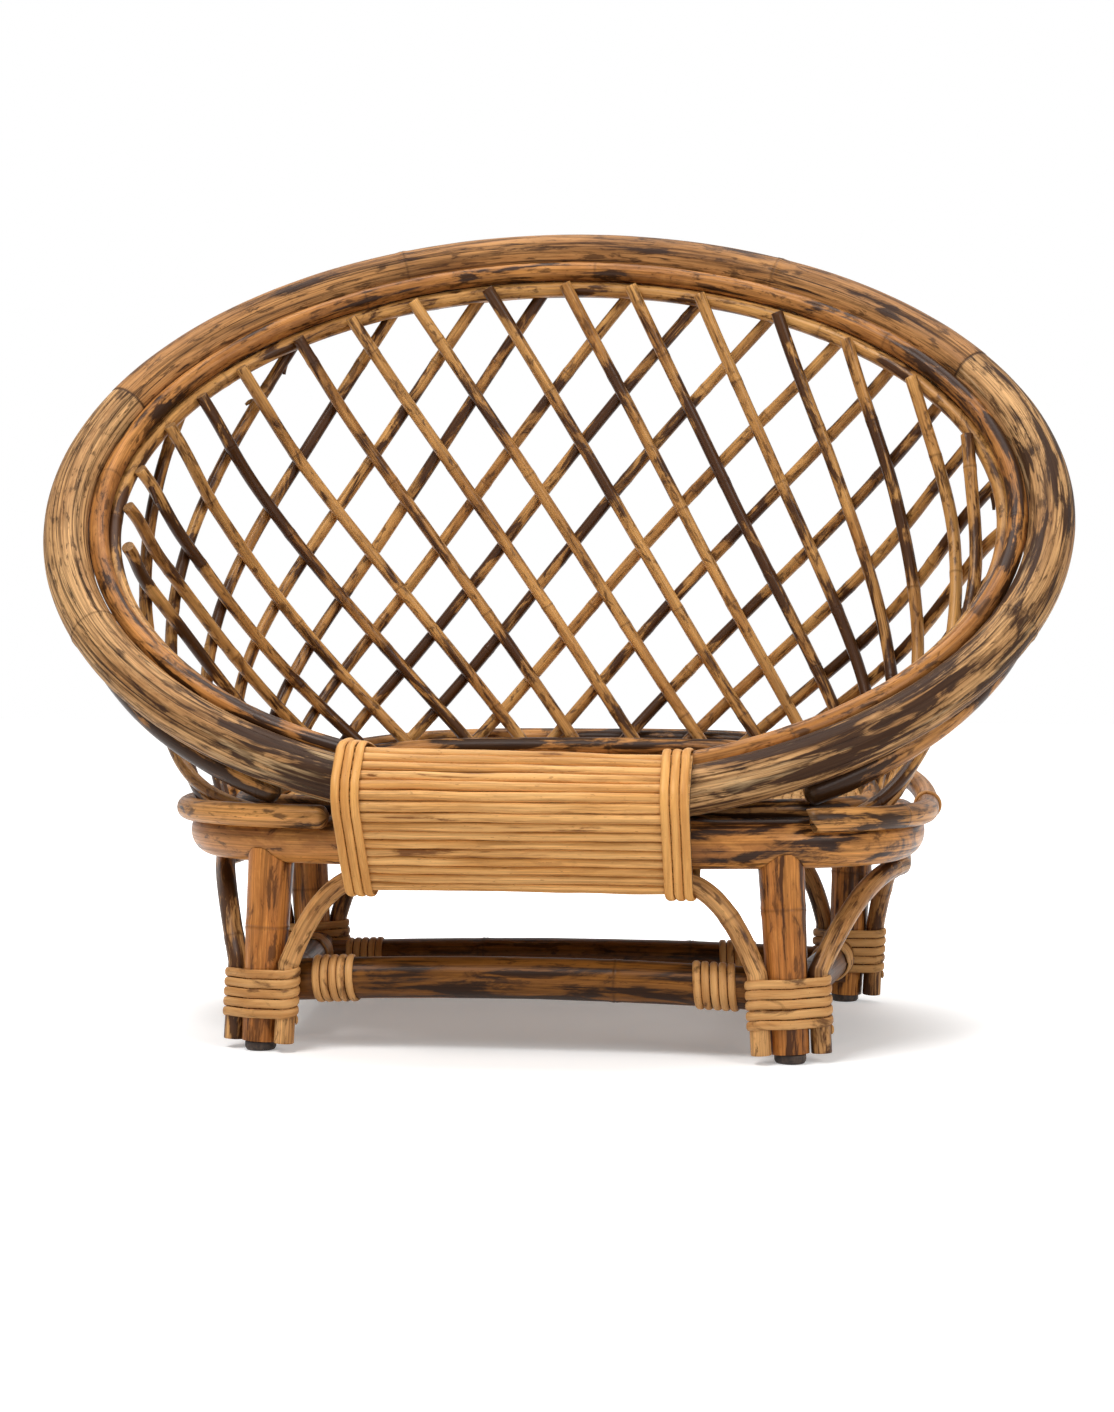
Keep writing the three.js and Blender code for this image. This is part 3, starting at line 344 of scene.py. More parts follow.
def side_stretcher(hand, t):
    h = STRETCH["side"][1]
    p = between(leg_mid("front", hand, h), leg_mid("rear", hand, h), t)
    p[..., 0] -= hand * SIDE_INSET
    return p


# How poles are drawn, in millimetres
JOINT_MARGIN, LEAST_STEP, CLOSED_FADE, END_FADE = 8, 0.25, 60, 40
SWELL_SPREAD, NECK_PLACE, NECK_SPREAD, JOINT_LINE, SEAM_SHADE_LINE = 4.2, 0.4, 0.8, 1.5, 1.4
WANDER_LENGTHS, VARY_LENGTH = (260, 310), 140
NEAR_MARK = np.array([-9, -6, -4, -2.4, -1.2, -0.5, 0, 0.5, 1.2, 2.4, 4, 6, 9.0])

# Shares and counts: joints in spacings, a swelling's neck, the section's lumps and the waves added up
FIRST_JOINT, NEXT_JOINT, NECK_SHARE, OVAL, LOBED = (0.2, 0.9), (0.75, 1.3), 0.55, 0.012, 0.008
WAVES, WAVE_RATIO, HALVINGS = 4, 0.8, 10

# Ends of poles: shares of the radius, pushes outward as shares of it, and how dark the end face is, where
# levels above 1 add painted shade
ROUNDED = np.linspace(0, TURN / 4, 6)[1:]
SCARF_SHARES = np.array([0.93, 0.72, 0.6, 0.02])
SCARF_UP, SCARF_LEAN = unit([0.2, -0.6, 0.8]), 0.9
CAPS = {
    "flat": ([0.96, 0.9, 0.5, 0.02], [0.05, 0.065, 0.06, 0.055], np.array([0.2, 1, 1, 1])),
    "round": (np.cos(ROUNDED), np.sin(ROUNDED) * 0.7, np.clip(1.2 - np.cos(ROUNDED), 0, 1) * 0.35),
    "scarf": (SCARF_SHARES, [0.02, 0, -0.7, -1.3], np.clip(1.2 - SCARF_SHARES, 0, 1) * 1.6),
}

# Section of a cane strip: place across, reach there and level, and the faces that close its ends
STRIP_CROWN = [(0.985, 0.35), (1, 0.8), (1, 0.97), (1, 1.0), (1, 0.97), (1, 0.8), (0.985, 0.35)]
STRIP_SECTION = [(u, *crown) for u, crown in zip(np.linspace(-1, 1, 7), STRIP_CROWN)]
STRIP_SECTION += [(u, 0.96, 0.0) for u in (1, 0, -1)]
STRIP_END = [[0, 6, 7, 9], [0, 1, 5, 6], [1, 2, 4, 5], [2, 3, 4, 4], [7, 8, 9, 9]]

# How unevenly a strip lies: millimetres sideways, places for that in each turn, and tone
STRIP_WOBBLE, WOBBLES, STRIP_TONES = 0.22, 3, 0.35


# Meshes
def resampled(places, along, table):
    return np.stack([np.interp(places, along, column) for column in table.T], -1)


def stacked(shape, *tables):
    return np.stack([np.broadcast_to(table, shape) for table in tables], -1)


def tunnel(rings, sides):
    """Faces between each ring of points and the next."""
    i = np.arange(rings - 1)[:, None] * sides
    k = np.arange(sides)[None]
    after = (k + 1) % sides
    return np.stack([i + k, i + after, i + sides + after, i + sides + k], -1).reshape(-1, 4)


def placed(name, data):
    obj = bpy.data.objects.new(name, data)
    bpy.context.scene.collection.objects.link(obj)
    return obj


class Parts:
    """Gathers swept tubes into one mesh with the coordinates that its material follows."""

    def __init__(self):
        self.verts, self.faces, self.pole, self.tone, self.joint, self.cut = [], [], [], [], [], []
        self.count = 0
        self.turned = False

    def add(self, verts, faces, pole, tone=0.0, joint=0.0, cut=0.0):
        count = len(verts)
        self.verts.append(np.asarray(verts, float))
        self.faces.append(np.asarray(faces, int) + self.count)
        self.pole.append(np.asarray(pole, float))
        for gathered, value in ((self.tone, tone), (self.joint, joint), (self.cut, cut)):
            gathered.append(row(value, count))
        self.count += count

    def build(self, name, material, node=None):
        verts = (np.concatenate(self.verts) + SHIFT) / PER_METRE
        faces = np.concatenate(self.faces).tolist()
        mesh = bpy.data.meshes.new(name)
        mesh.from_pydata(verts.tolist(), [], [face if face[2] != face[3] else face[:3] for face in faces])
        mesh.polygons.foreach_set("use_smooth", [True] * len(mesh.polygons))
        pole = mesh.attributes.new("pole", "FLOAT_VECTOR", "POINT")
        pole.data.foreach_set("vector", (np.concatenate(self.pole) / PER_METRE).astype(np.float32).ravel())
        for key in ("tone", "joint", "cut"):
            attribute = mesh.attributes.new(key, "FLOAT", "POINT")
            attribute.data.foreach_set("value", np.concatenate(getattr(self, key)).astype(np.float32))
        if self.turned:
            shell = bmesh.new()
            shell.from_mesh(mesh)
            bmesh.ops.recalc_face_normals(shell, faces=shell.faces)
            shell.to_mesh(mesh)
            shell.free()
        mesh.validate()
        mesh.update()
        mesh.materials.append(material)
        obj = placed(name, mesh)
        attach(obj, "root")
        if node:
            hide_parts(node)


def seeded(seed):
    return np.random.default_rng(7919 + seed)


def texture_shift(g):
    """Moves each piece to a place of its own in the materials' noise."""
    return g.uniform(-900, 900, 3)


def joint_places(length, seed, spacing=170.0, first=None):
    g = seeded(seed)
    places, s = [], (spacing * g.uniform(*FIRST_JOINT) if first is None else first)
    while s < length - JOINT_MARGIN:
        places.append(s)
        s += spacing * g.uniform(*NEXT_JOINT)
    return places


def waves(s, seed, longest, amplitude):
    g = seeded(seed + 5000)
    out = np.zeros_like(s)
    for k in range(WAVES):
        length = longest / (1 + k * WAVE_RATIO)
        out += amplitude / (1 + k) * np.sin(TURN * s / length + g.uniform(0, TURN))
    return out * 0.5


def bell(distance, spread):
    return np.exp(-(distance / spread) ** 2)


def stations(length, step, marks):
    """Places along a pole, closer together round each mark."""
    grid = [np.linspace(0, length, max(int(length / step), 4) + 1)] + [mark + NEAR_MARK for mark in marks]
    s = np.unique(np.round(np.clip(np.concatenate(grid), 0, length), 3))
    s = s[np.concatenate([[True], np.diff(s) > LEAST_STEP])]
    s[-1] = length
    return s


def headings(points, closed):
    if not closed:
        return unit(np.gradient(points, axis=0))
    padded = np.concatenate([points[-2:-1], points, points[1:2]])
    return unit(padded[2:] - padded[:-2])


def cap(ring, pole, centre, out, radius, way, kind):
    """Rings that close one end of a pole, with what its material follows there."""
    shares, pushes, cut_and_shade_levels = CAPS[kind]
    rings, poles = [], []
    for share, push in zip(shares, pushes):
        points = centre + out * radius * push + share * (ring - centre)
        if kind == "scarf":
            slope = (ring - centre) @ SCARF_UP / radius
            points = points + np.outer(slope, out) * radius * SCARF_LEAN * share
        rings.append(points)
        poles.append(pole + np.array([0, 0, way * (1 - share) * 2]))
    return np.array(rings), np.array(poles), np.zeros(len(shares)), cut_and_shade_levels


def sweep(parts, points, radius, hint, closed=False, sides=18, seed=0, tone=0.0, joints=(), swell=0.5,
          wander=0.25, vary=0.015, start="flat", end="flat", step=4.0, cut_tone=1.0, inside=None, seam=0.0):
    """Round pole along points, with joints, small swellings and finished ends; inside(points) says
    where another piece is, and each end that starts there is coped to it."""
    p = np.asarray(points, float)
    h = np.broadcast_to(np.asarray(hint, float), p.shape)
    if closed:
        p, h = (np.concatenate([table, table[:1]]) for table in (p, h))
    s0 = travelled(p)
    length = s0[-1]
    s = stations(length, step, list(joints) + ([0.0, length] if seam else []))
    to_end = np.minimum(s, length - s)
    pts = resampled(s, s0, p)
    t = headings(pts, closed)
    n = resampled(s, s0, h)
    n = unit(n - (n * t).sum(1, keepdims=True) * t)
    b = np.cross(t, n)
    fade = np.clip(to_end / (CLOSED_FADE if closed else END_FADE), 0, 1)
    sway, heave = (waves(s, seed + k, longest, wander) * fade for k, longest in enumerate(WANDER_LENGTHS))
    pts = pts + n * sway[:, None] + b * heave[:, None]
    r = np.interp(s, s0, row(radius, len(p))) * (1 + vary * waves(s, seed + 2, VARY_LENGTH, 1.0) * fade)
    ring = np.zeros_like(s)
    for j in joints:
        neck = swell * NECK_SHARE * bell(s - j - NECK_PLACE, NECK_SPREAD)
        r = r + swell * bell(s - j, SWELL_SPREAD) - neck
        ring = np.maximum(ring, bell(s - j, JOINT_LINE))
    # Painted shade: both ends of the pole darken, standing in for the shaded gap of a butt joint
    if seam:
        ring = np.maximum(ring, seam * bell(to_end, SEAM_SHADE_LINE))
    theta = np.linspace(0, TURN, sides, endpoint=False)
    c, d = np.cos(theta), np.sin(theta)
    g = seeded(seed + 77)
    lump = 1 + OVAL * np.sin(2 * theta + g.uniform(0, TURN)) + LOBED * np.sin(3 * theta + g.uniform(0, TURN))
    spokes = c[None, :, None] * n[:, None] + d[None, :, None] * b[:, None]
    rings = pts[:, None] + (r[:, None] * lump)[..., None] * spokes
    if inside is not None:
        cope(rings, inside)
    base_r = float(np.mean(r))
    pole = stacked(rings.shape[:2], base_r * c, base_r * d, s[:, None]) + texture_shift(g)
    rows = [(rings, pole, ring, np.zeros_like(s))]
    if not closed and inside is None:
        first, last = (cap(rings[k], pole[k], pts[k], t[k] * way, r[k], way, kind)
                       for k, way, kind in ((0, -1, start), (-1, 1, end)))
        rows = [[table[::-1] for table in first], rows[0], last]
    rings, pole, ring, cut = (np.concatenate(tables) for tables in zip(*rows))
    count = len(rings)
    if np.ndim(tone):
        tone = np.repeat(np.interp(np.linspace(0, 1, count), np.linspace(0, 1, len(tone)), tone), sides)
    parts.add(rings.reshape(-1, 3), tunnel(count, sides), pole.reshape(-1, 3), tone,
              np.repeat(ring, sides), np.repeat(cut, sides) * cut_tone)


def cope(rings, inside):
    """Moves each pole line's points that lie inside a neighbour to where the line leaves it."""
    count, sides = rings.shape[:2]
    hidden = inside(rings.reshape(-1, 3)).reshape(count, sides)
    half = count // 2
    for k in range(sides):
        for order in (range(half), range(count - 1, half, -1)):
            if not hidden[order[0], k]:
                continue
            last = next((j for j, i in enumerate(order) if not hidden[i, k]), len(order) - 1)
            a, b = rings[order[last - 1], k].copy(), rings[order[last], k].copy()
            for _ in range(HALVINGS):
                middle = (a + b) / 2
                if inside(middle[None])[0]:
                    a = middle
                else:
                    b = middle
            for i in order[:last]:
                rings[i, k] = b


def tube(name, material, slot, points, radius, hint, **looks):
    """One pole that stands for the node of its name."""
    parts = Parts()
    sweep(parts, points, radius, hint, **looks)
    parts.build(name, material, name)


# Flat cane wound round poles
def support(circles, phi):
    return np.max([c[0] * np.cos(phi) + c[1] * np.sin(phi) + c[2] for c in circles], axis=0)


def wrap_corner(circles, a, b, offset):
    sa, sb = support(circles, a) + offset, support(circles, b) + offset
    det = math.sin(b - a)
    return ((sa * math.sin(b) - sb * math.sin(a)) / det, (sb * math.cos(a) - sa * math.cos(b)) / det)


def wind(parts, axis, circles_at, start, cane, seat, seed, steps=72, tone=0.0):
    """One unbroken strip with a crowned face; axis is the index of the axis it winds round."""
    width, pitch, turns = cane
    total = steps * turns + 1
    g = seeded(seed + 300)
    wobble = [g.uniform(-STRIP_WOBBLE, STRIP_WOBBLE) for _ in range(turns * WOBBLES + 2)]
    tones = [tone + g.uniform(-STRIP_TONES, STRIP_TONES) for _ in range(turns + 2)]
    shift = texture_shift(g)
    first, second = (k for k in range(3) if k != axis)
    verts, pole, tone_row, run, before = [], [], [], 0.0, None
    for k in range(total):
        phi = TURN * k / steps
        middle = start + pitch * turns * k / (total - 1)
        middle += np.interp(k / steps * WOBBLES, np.arange(len(wobble)), wobble)
        if k % 2 == 0:
            circles = circles_at(middle)
        inner = wrap_corner(circles, phi, phi + TURN / steps, seat)
        outer = wrap_corner(circles, phi, phi + TURN / steps, seat + CANE_T)
        if before is not None:
            run += math.hypot(outer[0] - before[0], outer[1] - before[1])
        before = outer
        for u, reach, level in STRIP_SECTION:
            v = np.zeros(3)
            v[axis] = middle + u * width / 2 * reach
            v[first], v[second] = (inner[i] + (outer[i] - inner[i]) * level for i in (0, 1))
            verts.append(v)
            pole.append([u * width / 2 + shift[0], level * CANE_T + shift[1], run + shift[2]])
            tone_row.append(np.interp(k / steps, np.arange(len(tones)), tones))
    size = len(STRIP_SECTION)
    caps = [[base + corner for corner in face] for base in (0, (total - 1) * size) for face in STRIP_END]
    parts.turned = True
    parts.add(verts, np.concatenate([tunnel(total, size), np.array(caps)]), pole, np.array(tone_row))


def winding(name, material, *strip, **looks):
    parts = Parts()
    wind(parts, *strip, **looks)
    parts.build(name, material, name)


def crossing(points, radius, axis, place):
    values = points[:, axis]
    index = int(np.clip(np.searchsorted(values, place), 1, len(values) - 1))
    before, after = points[index - 1], points[index]
    run = after[axis] - before[axis]
    centre = before + (after - before) * (place - before[axis]) / run
    other = 1 if axis == 0 else 0
    return (centre[other], centre[2], radius * np.linalg.norm(after - before) / run)


# Materials
def set_inputs(tree, node, inputs):
    """Sets or links each input; a colour is red, green and blue."""
    for key, value in inputs.items():
        socket = node.inputs[key]
        if isinstance(value, bpy.types.NodeSocket):
            tree.links.new(value, socket)
        else:
            socket.default_value = (*value, 1.0) if socket.type == "RGBA" else value


def add_node(tree, kind, inputs, **settings):
    node = tree.nodes.new("ShaderNode" + kind)
    for name, value in settings.items():
        setattr(node, name, value)
    set_inputs(tree, node, inputs)
    return node


class Nodes:
    """Short names for the shader nodes of one material."""

    def __init__(self, name):
        self.material = bpy.data.materials.new(name)
        self.material.use_nodes = True
        self.tree = self.material.node_tree
        self.tree.nodes.clear()
        self.shader = self.add("BsdfPrincipled", {})
        self.out = self.add("OutputMaterial", {"Surface": self.shader.outputs["BSDF"]})

    def add(self, kind, inputs, **settings):
        return add_node(self.tree, kind, inputs, **settings)

    def attribute(self, name, vector=False):
        return self.add("Attribute", {}, attribute_name=name).outputs["Vector" if vector else "Fac"]

    def math(self, operation, a, b, clamp=False):
        return self.add("Math", {0: a, 1: b}, operation=operation, use_clamp=clamp).outputs[0]

    def plus(self, a, b):
        return self.math("ADD", a, b)

    def minus(self, a, b, clamp=False):
        return self.math("SUBTRACT", a, b, clamp)

    def times(self, a, b, clamp=False):
        return self.math("MULTIPLY", a, b, clamp)

    def noise(self, vector, scale, offset, detail, roughness, distortion=0.0):
        moved = self.add("Mapping", {"Vector": vector, "Scale": scale, "Location": offset}).outputs[0]
        return self.add("TexNoise", {"Vector": moved, "Scale": 1.0, "Detail": detail, "Roughness": roughness,
                                     "Distortion": distortion}).outputs["Fac"]

    def ramp(self, value, low, high, a=0.0, b=1.0, curve="SMOOTHSTEP"):
        inputs = {"Value": value, "From Min": low, "From Max": high, "To Min": a, "To Max": b}
        return self.add("MapRange", inputs, interpolation_type=curve).outputs["Result"]

    def mix(self, share, a, b, blend="MIX"):
        inputs = {0: share, 6: a, 7: b}
        return self.add("Mix", inputs, data_type="RGBA", blend_type=blend, clamp_factor=True).outputs[2]

    def shaded(self, color, shade):
        grey = self.add("CombineColor", {0: shade, 1: shade, 2: shade}).outputs[0]
        return self.mix(1.0, color, grey, "MULTIPLY")

    def bump(self, height, distance, strength):
        inputs = {"Strength": strength, "Distance": distance, "Height": height}
        return self.add("Bump", inputs).outputs["Normal"]

    def finish(self, color, roughness, normal, coat=0.0, coat_roughness=0.25, specular=0.5):
        set_inputs(self.tree, self.shader, {
            "Base Color": color, "Roughness": roughness, "Normal": normal, "Coat Weight": coat,
            "Coat Roughness": coat_roughness, "Specular IOR Level": specular})
        return self.material


CUT_LIGHT, CUT_DARK, CUT_SHADOW = (0.30, 0.17, 0.075), (0.10, 0.045, 0.016), (0.012, 0.006, 0.003)
POLE_SPECULAR = 0.12


def bark(name, light, middle, dark, burnt=0.35, fibre=0.35, across=60.0, along=11.0, crack=0.0,
         grey=None, rough=(0.34, 0.55), coat=0.25, relief=0.25, speck=0.35, flecks=1.0):
    """Rattan pole: long fibres, tone patches, burnt mottles, specks, joints and end faces, with painted
    shade at butt-joint seams and in gaps.
    """
    n = Nodes(name)
    pole = n.attribute("pole", True)
    tone, joint, cut = (n.attribute(key) for key in ("tone", "joint", "cut"))
    fine = n.noise(pole, (900, 900, 14), (0, 0, 0), 3, 0.6)
    strands = n.noise(pole, (330, 330, 7), (3, 1, 7), 4, 0.6, 0.25)
    patch = n.noise(pole, (across * 0.55, across * 0.55, along * 0.45), (9, 4, 2), 3, 0.5, 0.3)
    mottle = n.noise(pole, (across, across, along), (5, 8, 3), 6, 0.62, 0.7)
    broad = n.noise(pole, (9, 9, 3.1), (1, 6, 4), 2, 0.5)
    dots = n.noise(pole, (420, 420, 130), (2, 2, 9), 2, 0.5)
    fleck = n.noise(pole, (across * 2.2, across * 2.2, along * 3), (6, 2, 8), 5, 0.62, 0.5)
    color = n.mix(n.ramp(patch, 0.36, 0.66), light, middle)
    color = n.mix(n.ramp(fleck, 0.5, 0.36, 0.0, 0.45 * flecks), color, light)
    color = n.mix(n.ramp(fleck, 0.53, 0.64, 0.0, 0.75 * flecks), color, dark)
    color = n.mix(n.ramp(strands, 0.42, 0.7, 0.0, fibre), color, dark)

    # Burnt mottles, more of them where the tone is high
    level = n.plus(n.times(tone, 0.16), n.times(n.minus(broad, 0.5), 0.45))
    level = n.plus(level, mottle)
    level = n.plus(level, n.times(n.minus(strands, 0.5), 0.28))
    edge = 0.66 - burnt * 0.3
    burn = n.ramp(level, edge, edge + 0.09, 0.0, 0.95)
    half_burn = n.ramp(level, edge - 0.09, edge + 0.05, 0.0, 0.45)
    color = n.mix(half_burn, color, n.mix(0.5, middle, dark))
    color = n.mix(burn, color, dark)

    # Dry grey streaks, cracks, fine fibres and specks
    if grey:
        dry = n.noise(pole, (70, 70, 6), (7, 3, 1), 4, 0.6, 0.4)
        color = n.mix(n.ramp(dry, 0.58, 0.7, 0.0, 0.75), color, grey)
    if crack:
        lines = n.noise(pole, (420, 420, 4.5), (4, 4, 4), 5, 0.68, 0.5)
        color = n.mix(n.ramp(lines, 0.57, 0.66, 0.0, crack), color, dark)
    color = n.shaded(color, n.ramp(fine, 0.25, 0.75, 0.66, 1.3, "LINEAR"))
    color = n.mix(n.ramp(dots, 0.66, 0.74, 0.0, speck), color, dark)

    # Joints, with painted shade at butt-joint seams; end faces, and painted shade in the gaps behind them
    color = n.mix(n.times(joint, 0.4), color, dark)
    grain = n.noise(pole, (1500, 1500, 300), (0, 0, 0), 2, 0.5)
    end_color = n.mix(n.ramp(grain, 0.35, 0.65), CUT_LIGHT, CUT_DARK)
    color = n.mix(n.times(cut, 0.85, clamp=True), color, end_color)
    # Painted shade: end levels above 1 darken towards CUT_SHADOW, for hollows and gaps
    color = n.mix(n.minus(cut, 1.0, clamp=True), color, CUT_SHADOW)
    roughness = n.ramp(n.plus(strands, n.times(burn, -0.15)), 0.3, 0.75, *rough)
    height = n.minus(n.plus(n.times(fine, 0.45), strands), n.times(joint, 0.4))
    if crack:
        height = n.minus(height, n.times(n.ramp(lines, 0.57, 0.66), 1.6))
    normal = n.bump(height, relief / PER_METRE, 0.8)
    return n.finish(color, roughness, normal, coat * 0.3, 0.2, POLE_SPECULAR)


def cane_material(name, light, middle, dark, blot, coat):
    """Flat strip: fibres along it, a little speckle, and darker blots."""
    n = Nodes(name)
    pole = n.attribute("pole", True)
    fine = n.noise(pole, (1300, 300, 16), (0, 0, 0), 3, 0.6)
    soft = n.noise(pole, (160, 60, 14), (4, 2, 1), 4, 0.55, 0.4)
    blots = n.noise(pole, (60, 40, 26), (1, 5, 3), 5, 0.6, 0.6)
    dots = n.noise(pole, (700, 300, 420), (8, 2, 5), 2, 0.5)
    color = n.mix(n.ramp(soft, 0.35, 0.68), light, middle)
    level = n.plus(blots, n.times(n.attribute("tone"), 0.2))
    edge = 0.72 - blot * 0.3
    color = n.mix(n.ramp(level, edge, edge + 0.14, 0.0, 0.85), color, dark)
    color = n.shaded(color, n.ramp(fine, 0.25, 0.75, 0.82, 1.14, "LINEAR"))
    color = n.mix(n.ramp(dots, 0.68, 0.76, 0.0, 0.45), color, dark)
    normal = n.bump(n.plus(fine, soft), 0.00016, 0.8)
    return n.finish(color, n.ramp(soft, 0.3, 0.7, 0.36, 0.55), normal, coat * 0.3, 0.25, POLE_SPECULAR)


def foot_material():
    n = Nodes("foot_rubber")
    soft = n.noise(n.attribute("pole", True), (220, 220, 220), (0, 0, 0), 4, 0.6)
    color = n.mix(n.ramp(soft, 0.35, 0.65), (0.05, 0.026, 0.014), (0.018, 0.01, 0.007))
    return n.finish(color, n.ramp(soft, 0.3, 0.7, 0.5, 0.7), n.bump(soft, 0.0002, 0.6))


LATTICE = bark("rod_bark", (0.62, 0.32, 0.10), (0.37, 0.165, 0.045), (0.05, 0.017, 0.005),
               burnt=0.3, along=16, coat=0.3, rough=(0.3, 0.48), speck=0.12)
WEATHERED = bark("weathered_bark", (0.60, 0.34, 0.145), (0.34, 0.165, 0.06), (0.03, 0.011, 0.004),
                 burnt=0.42, fibre=0.9, across=75, crack=0.95, grey=(0.56, 0.37, 0.19),
                 rough=(0.5, 0.7), coat=0.03, relief=0.7)
REAR_RIM = bark("rear_rim_bark", (0.46, 0.22, 0.075), (0.26, 0.112, 0.034), (0.03, 0.011, 0.004),
                burnt=0.38, fibre=0.8, across=75, crack=0.85, rough=(0.42, 0.6), coat=0.1, relief=0.5)
RING = bark("ring_bark", (0.52, 0.225, 0.06), (0.30, 0.115, 0.028), (0.022, 0.007, 0.002),
            burnt=0.34, fibre=0.4, along=13, rough=(0.32, 0.52))
BASE = bark("base_bark", (0.66, 0.29, 0.075), (0.33, 0.125, 0.032), (0.016, 0.005, 0.002),
            burnt=0.44, fibre=0.45, across=34, coat=0.28, rough=(0.3, 0.5))
LEG = bark("leg_bark", (0.66, 0.27, 0.065), (0.42, 0.15, 0.033), (0.05, 0.016, 0.004),
           burnt=0.24, fibre=0.6, across=50, along=9, coat=0.22, rough=(0.32, 0.52))
BRACE = bark("brace_bark", (0.64, 0.34, 0.125), (0.40, 0.18, 0.056), (0.055, 0.02, 0.007),
             burnt=0.28, fibre=0.4, across=75, along=14, coat=0.22)
STRETCHER = bark("stretcher_bark", (0.23, 0.087, 0.015), (0.12, 0.042, 0.007), (0.02, 0.007, 0.002),
                 burnt=0.26, fibre=0.45, across=45, along=9, coat=0.12, rough=(0.34, 0.5))
HOOP = bark("hoop_bark", (0.62, 0.29, 0.085), (0.34, 0.14, 0.038), (0.022, 0.008, 0.003),
            burnt=0.34, fibre=0.4, across=58, along=12, coat=0.22)
REED_BARK = bark("reed_bark", (0.78, 0.43, 0.155), (0.60, 0.29, 0.085), (0.18, 0.065, 0.016),
                 burnt=-0.1, fibre=0.4, across=110, along=12, rough=(0.34, 0.5), speck=0.45, flecks=0.3)
CANE = cane_material("cane_strip", (0.62, 0.335, 0.125), (0.45, 0.21, 0.067), (0.075, 0.026, 0.009),
                     blot=0.46, coat=0.15)
BAND = cane_material("band_strip", (0.74, 0.38, 0.115), (0.55, 0.25, 0.068), (0.12, 0.04, 0.011),
                     blot=0.16, coat=0.2)
WEAVE = cane_material("deck_strip", (0.56, 0.32, 0.13), (0.44, 0.23, 0.08), (0.12, 0.05, 0.016),
                      blot=0.2, coat=0.05)
FOOT = foot_material()


# Rim and rings
def whole_turn(first):
    return np.linspace(0, TURN, 720, endpoint=False) + first


def sweep_ring(parts, offset_at, radius, seed, sides):
    """Closed ring that runs along the rim."""
    a = whole_turn(rad(-80))
    pts = rim_point(a, *offset_at(a))
    length = spans(np.concatenate([pts, pts[:1]])).sum()
    sweep(parts, pts, radius, rim_outward(a), closed=True, sides=sides, seed=seed, tone=0.25,
          joints=joint_places(length, seed, 300), wander=0.15, swell=0.35)


def rim_pole(name, material, slot, start, end, seed, tone, spacing, first):
    butt = CLEAR / RIM_S
    a = np.linspace(start + butt, end - butt, 900)
    pts = rim_point(a)
    joints = joint_places(spans(pts).sum(), seed, spacing, first)
    # Both rim poles get painted shade at their ends, for the butt-joint gaps between them
    tube(name, material, slot, pts, RIM_R, rim_outward(a), sides=40, seed=seed, tone=tone, joints=joints,
         swell=0.9, wander=0.0, vary=0.006, step=5.0, seam=2.3)


RIM_TONES = [-0.5, -0.6, -0.9, 0.9, 0.8, 0.5, 0.2, 0.5, 0.5]
SEAT_TONES = [0.8, -0.6, -0.2, 0.3, 0.5, 0.4, 0.2, 0.0, -0.5, 0.1]
BASE_TONES = [0.1, 0.5, 0.2, 0.6, 0.3, 0.3, 0.2, -0.4, -1.1, -1.1, 0.1]
UNDER_LENGTH, SEAT_OUT_LENGTH, SEAT_IN_LENGTH, BASE_LENGTH = 2300, 1500, 1800, 1950

rim_pole("rim_rear_pole", REAR_RIM, "honey_pole", JOINT_RIGHT, JOINT_LEFT, 11, 0.0, 430, 250)
rim_pole("rim_front_pole", WEATHERED, "weathered_pole", JOINT_LEFT, JOINT_RIGHT + TURN, 12, RIM_TONES,
         520, 330)
parts = Parts()
sweep_ring(parts, inner_offset, INNER_R, 13, 18)
parts.build("rim_inner_ring", RING, "rim_inner_ring")

a = np.linspace(*UNDER_ENDS, 620)
tube("under_rim_hoop", HOOP, "dark_pole", rim_point(a, *under_offset(a)), UNDER_R, rim_outward(a), sides=20,
     seed=14, tone=0.7, start="round", end="round", joints=joint_places(UNDER_LENGTH, 14, 320), wander=0.15,
     swell=0.4)

a = np.linspace(*SEAT_ENDS, 560)
tube("seat_outer_hoop", HOOP, "honey_pole", seat_outer(a), SEAT_OUT_R, base_normal(a), sides=20, seed=15,
     tone=SEAT_TONES, start="scarf", end="round", joints=joint_places(SEAT_OUT_LENGTH, 15, 260), wander=0.12,
     swell=0.4)

a = whole_turn(rad(-90))
tube("seat_inner_hoop", HOOP, "dark_pole", seat_inner(a), SEAT_IN_R, base_normal(a), closed=True, seed=16,
     tone=0.5, joints=joint_places(SEAT_IN_LENGTH, 16, 300), wander=0.12, swell=0.35)
tube("base_ring", BASE, "honey_pole", base_line(a), POLE_R, base_normal(a), closed=True, sides=40, seed=17,
     tone=BASE_TONES, joints=joint_places(BASE_LENGTH, 17, 380), wander=0.0, vary=0.006, swell=0.8, step=5.0)

# Lattice
INNER_TONES = [0.9, 0.2, 0.1, 0.8, 0.3, 0.7, 0.2, 0.1, 0.3, 0.2, 0.5, 0.1, 0.6, 0.2, 0.8, 0.3, 0.9]
OUTER_TONES = [0.5, 0.9, 0.4, 0.2, 0.5, 0.1, 0.3, 0.6, 0.2, 0.4, 0.7, 0.3, 0.9, 0.6, 0.8]
ROD_STEP, ROD_JOINTS, ROD_TONES = 3.0, 150, 1.1
inner_rods, outer_rods = [], []


def ring_curve(angle):
    return wall_point(angle, np.zeros_like(angle))


def rod(parts, rods, top, foot, side, head_share, tone, tone_seed, seed, wander):
    line, normal = rod_line(angle_at(ring_curve, top), angle_at(base_plan, foot), side, head_share)
    tones = np.clip(tone + seeded(tone_seed).uniform(-ROD_TONES, ROD_TONES, 9), -1, 1.5)
    sweep(parts, line, ROD_R, normal, sides=16, seed=seed, tone=tones,
          joints=joint_places(len(line) * ROD_STEP, seed, ROD_JOINTS), wander=wander, swell=0.45)
    rods.append((line, normal))


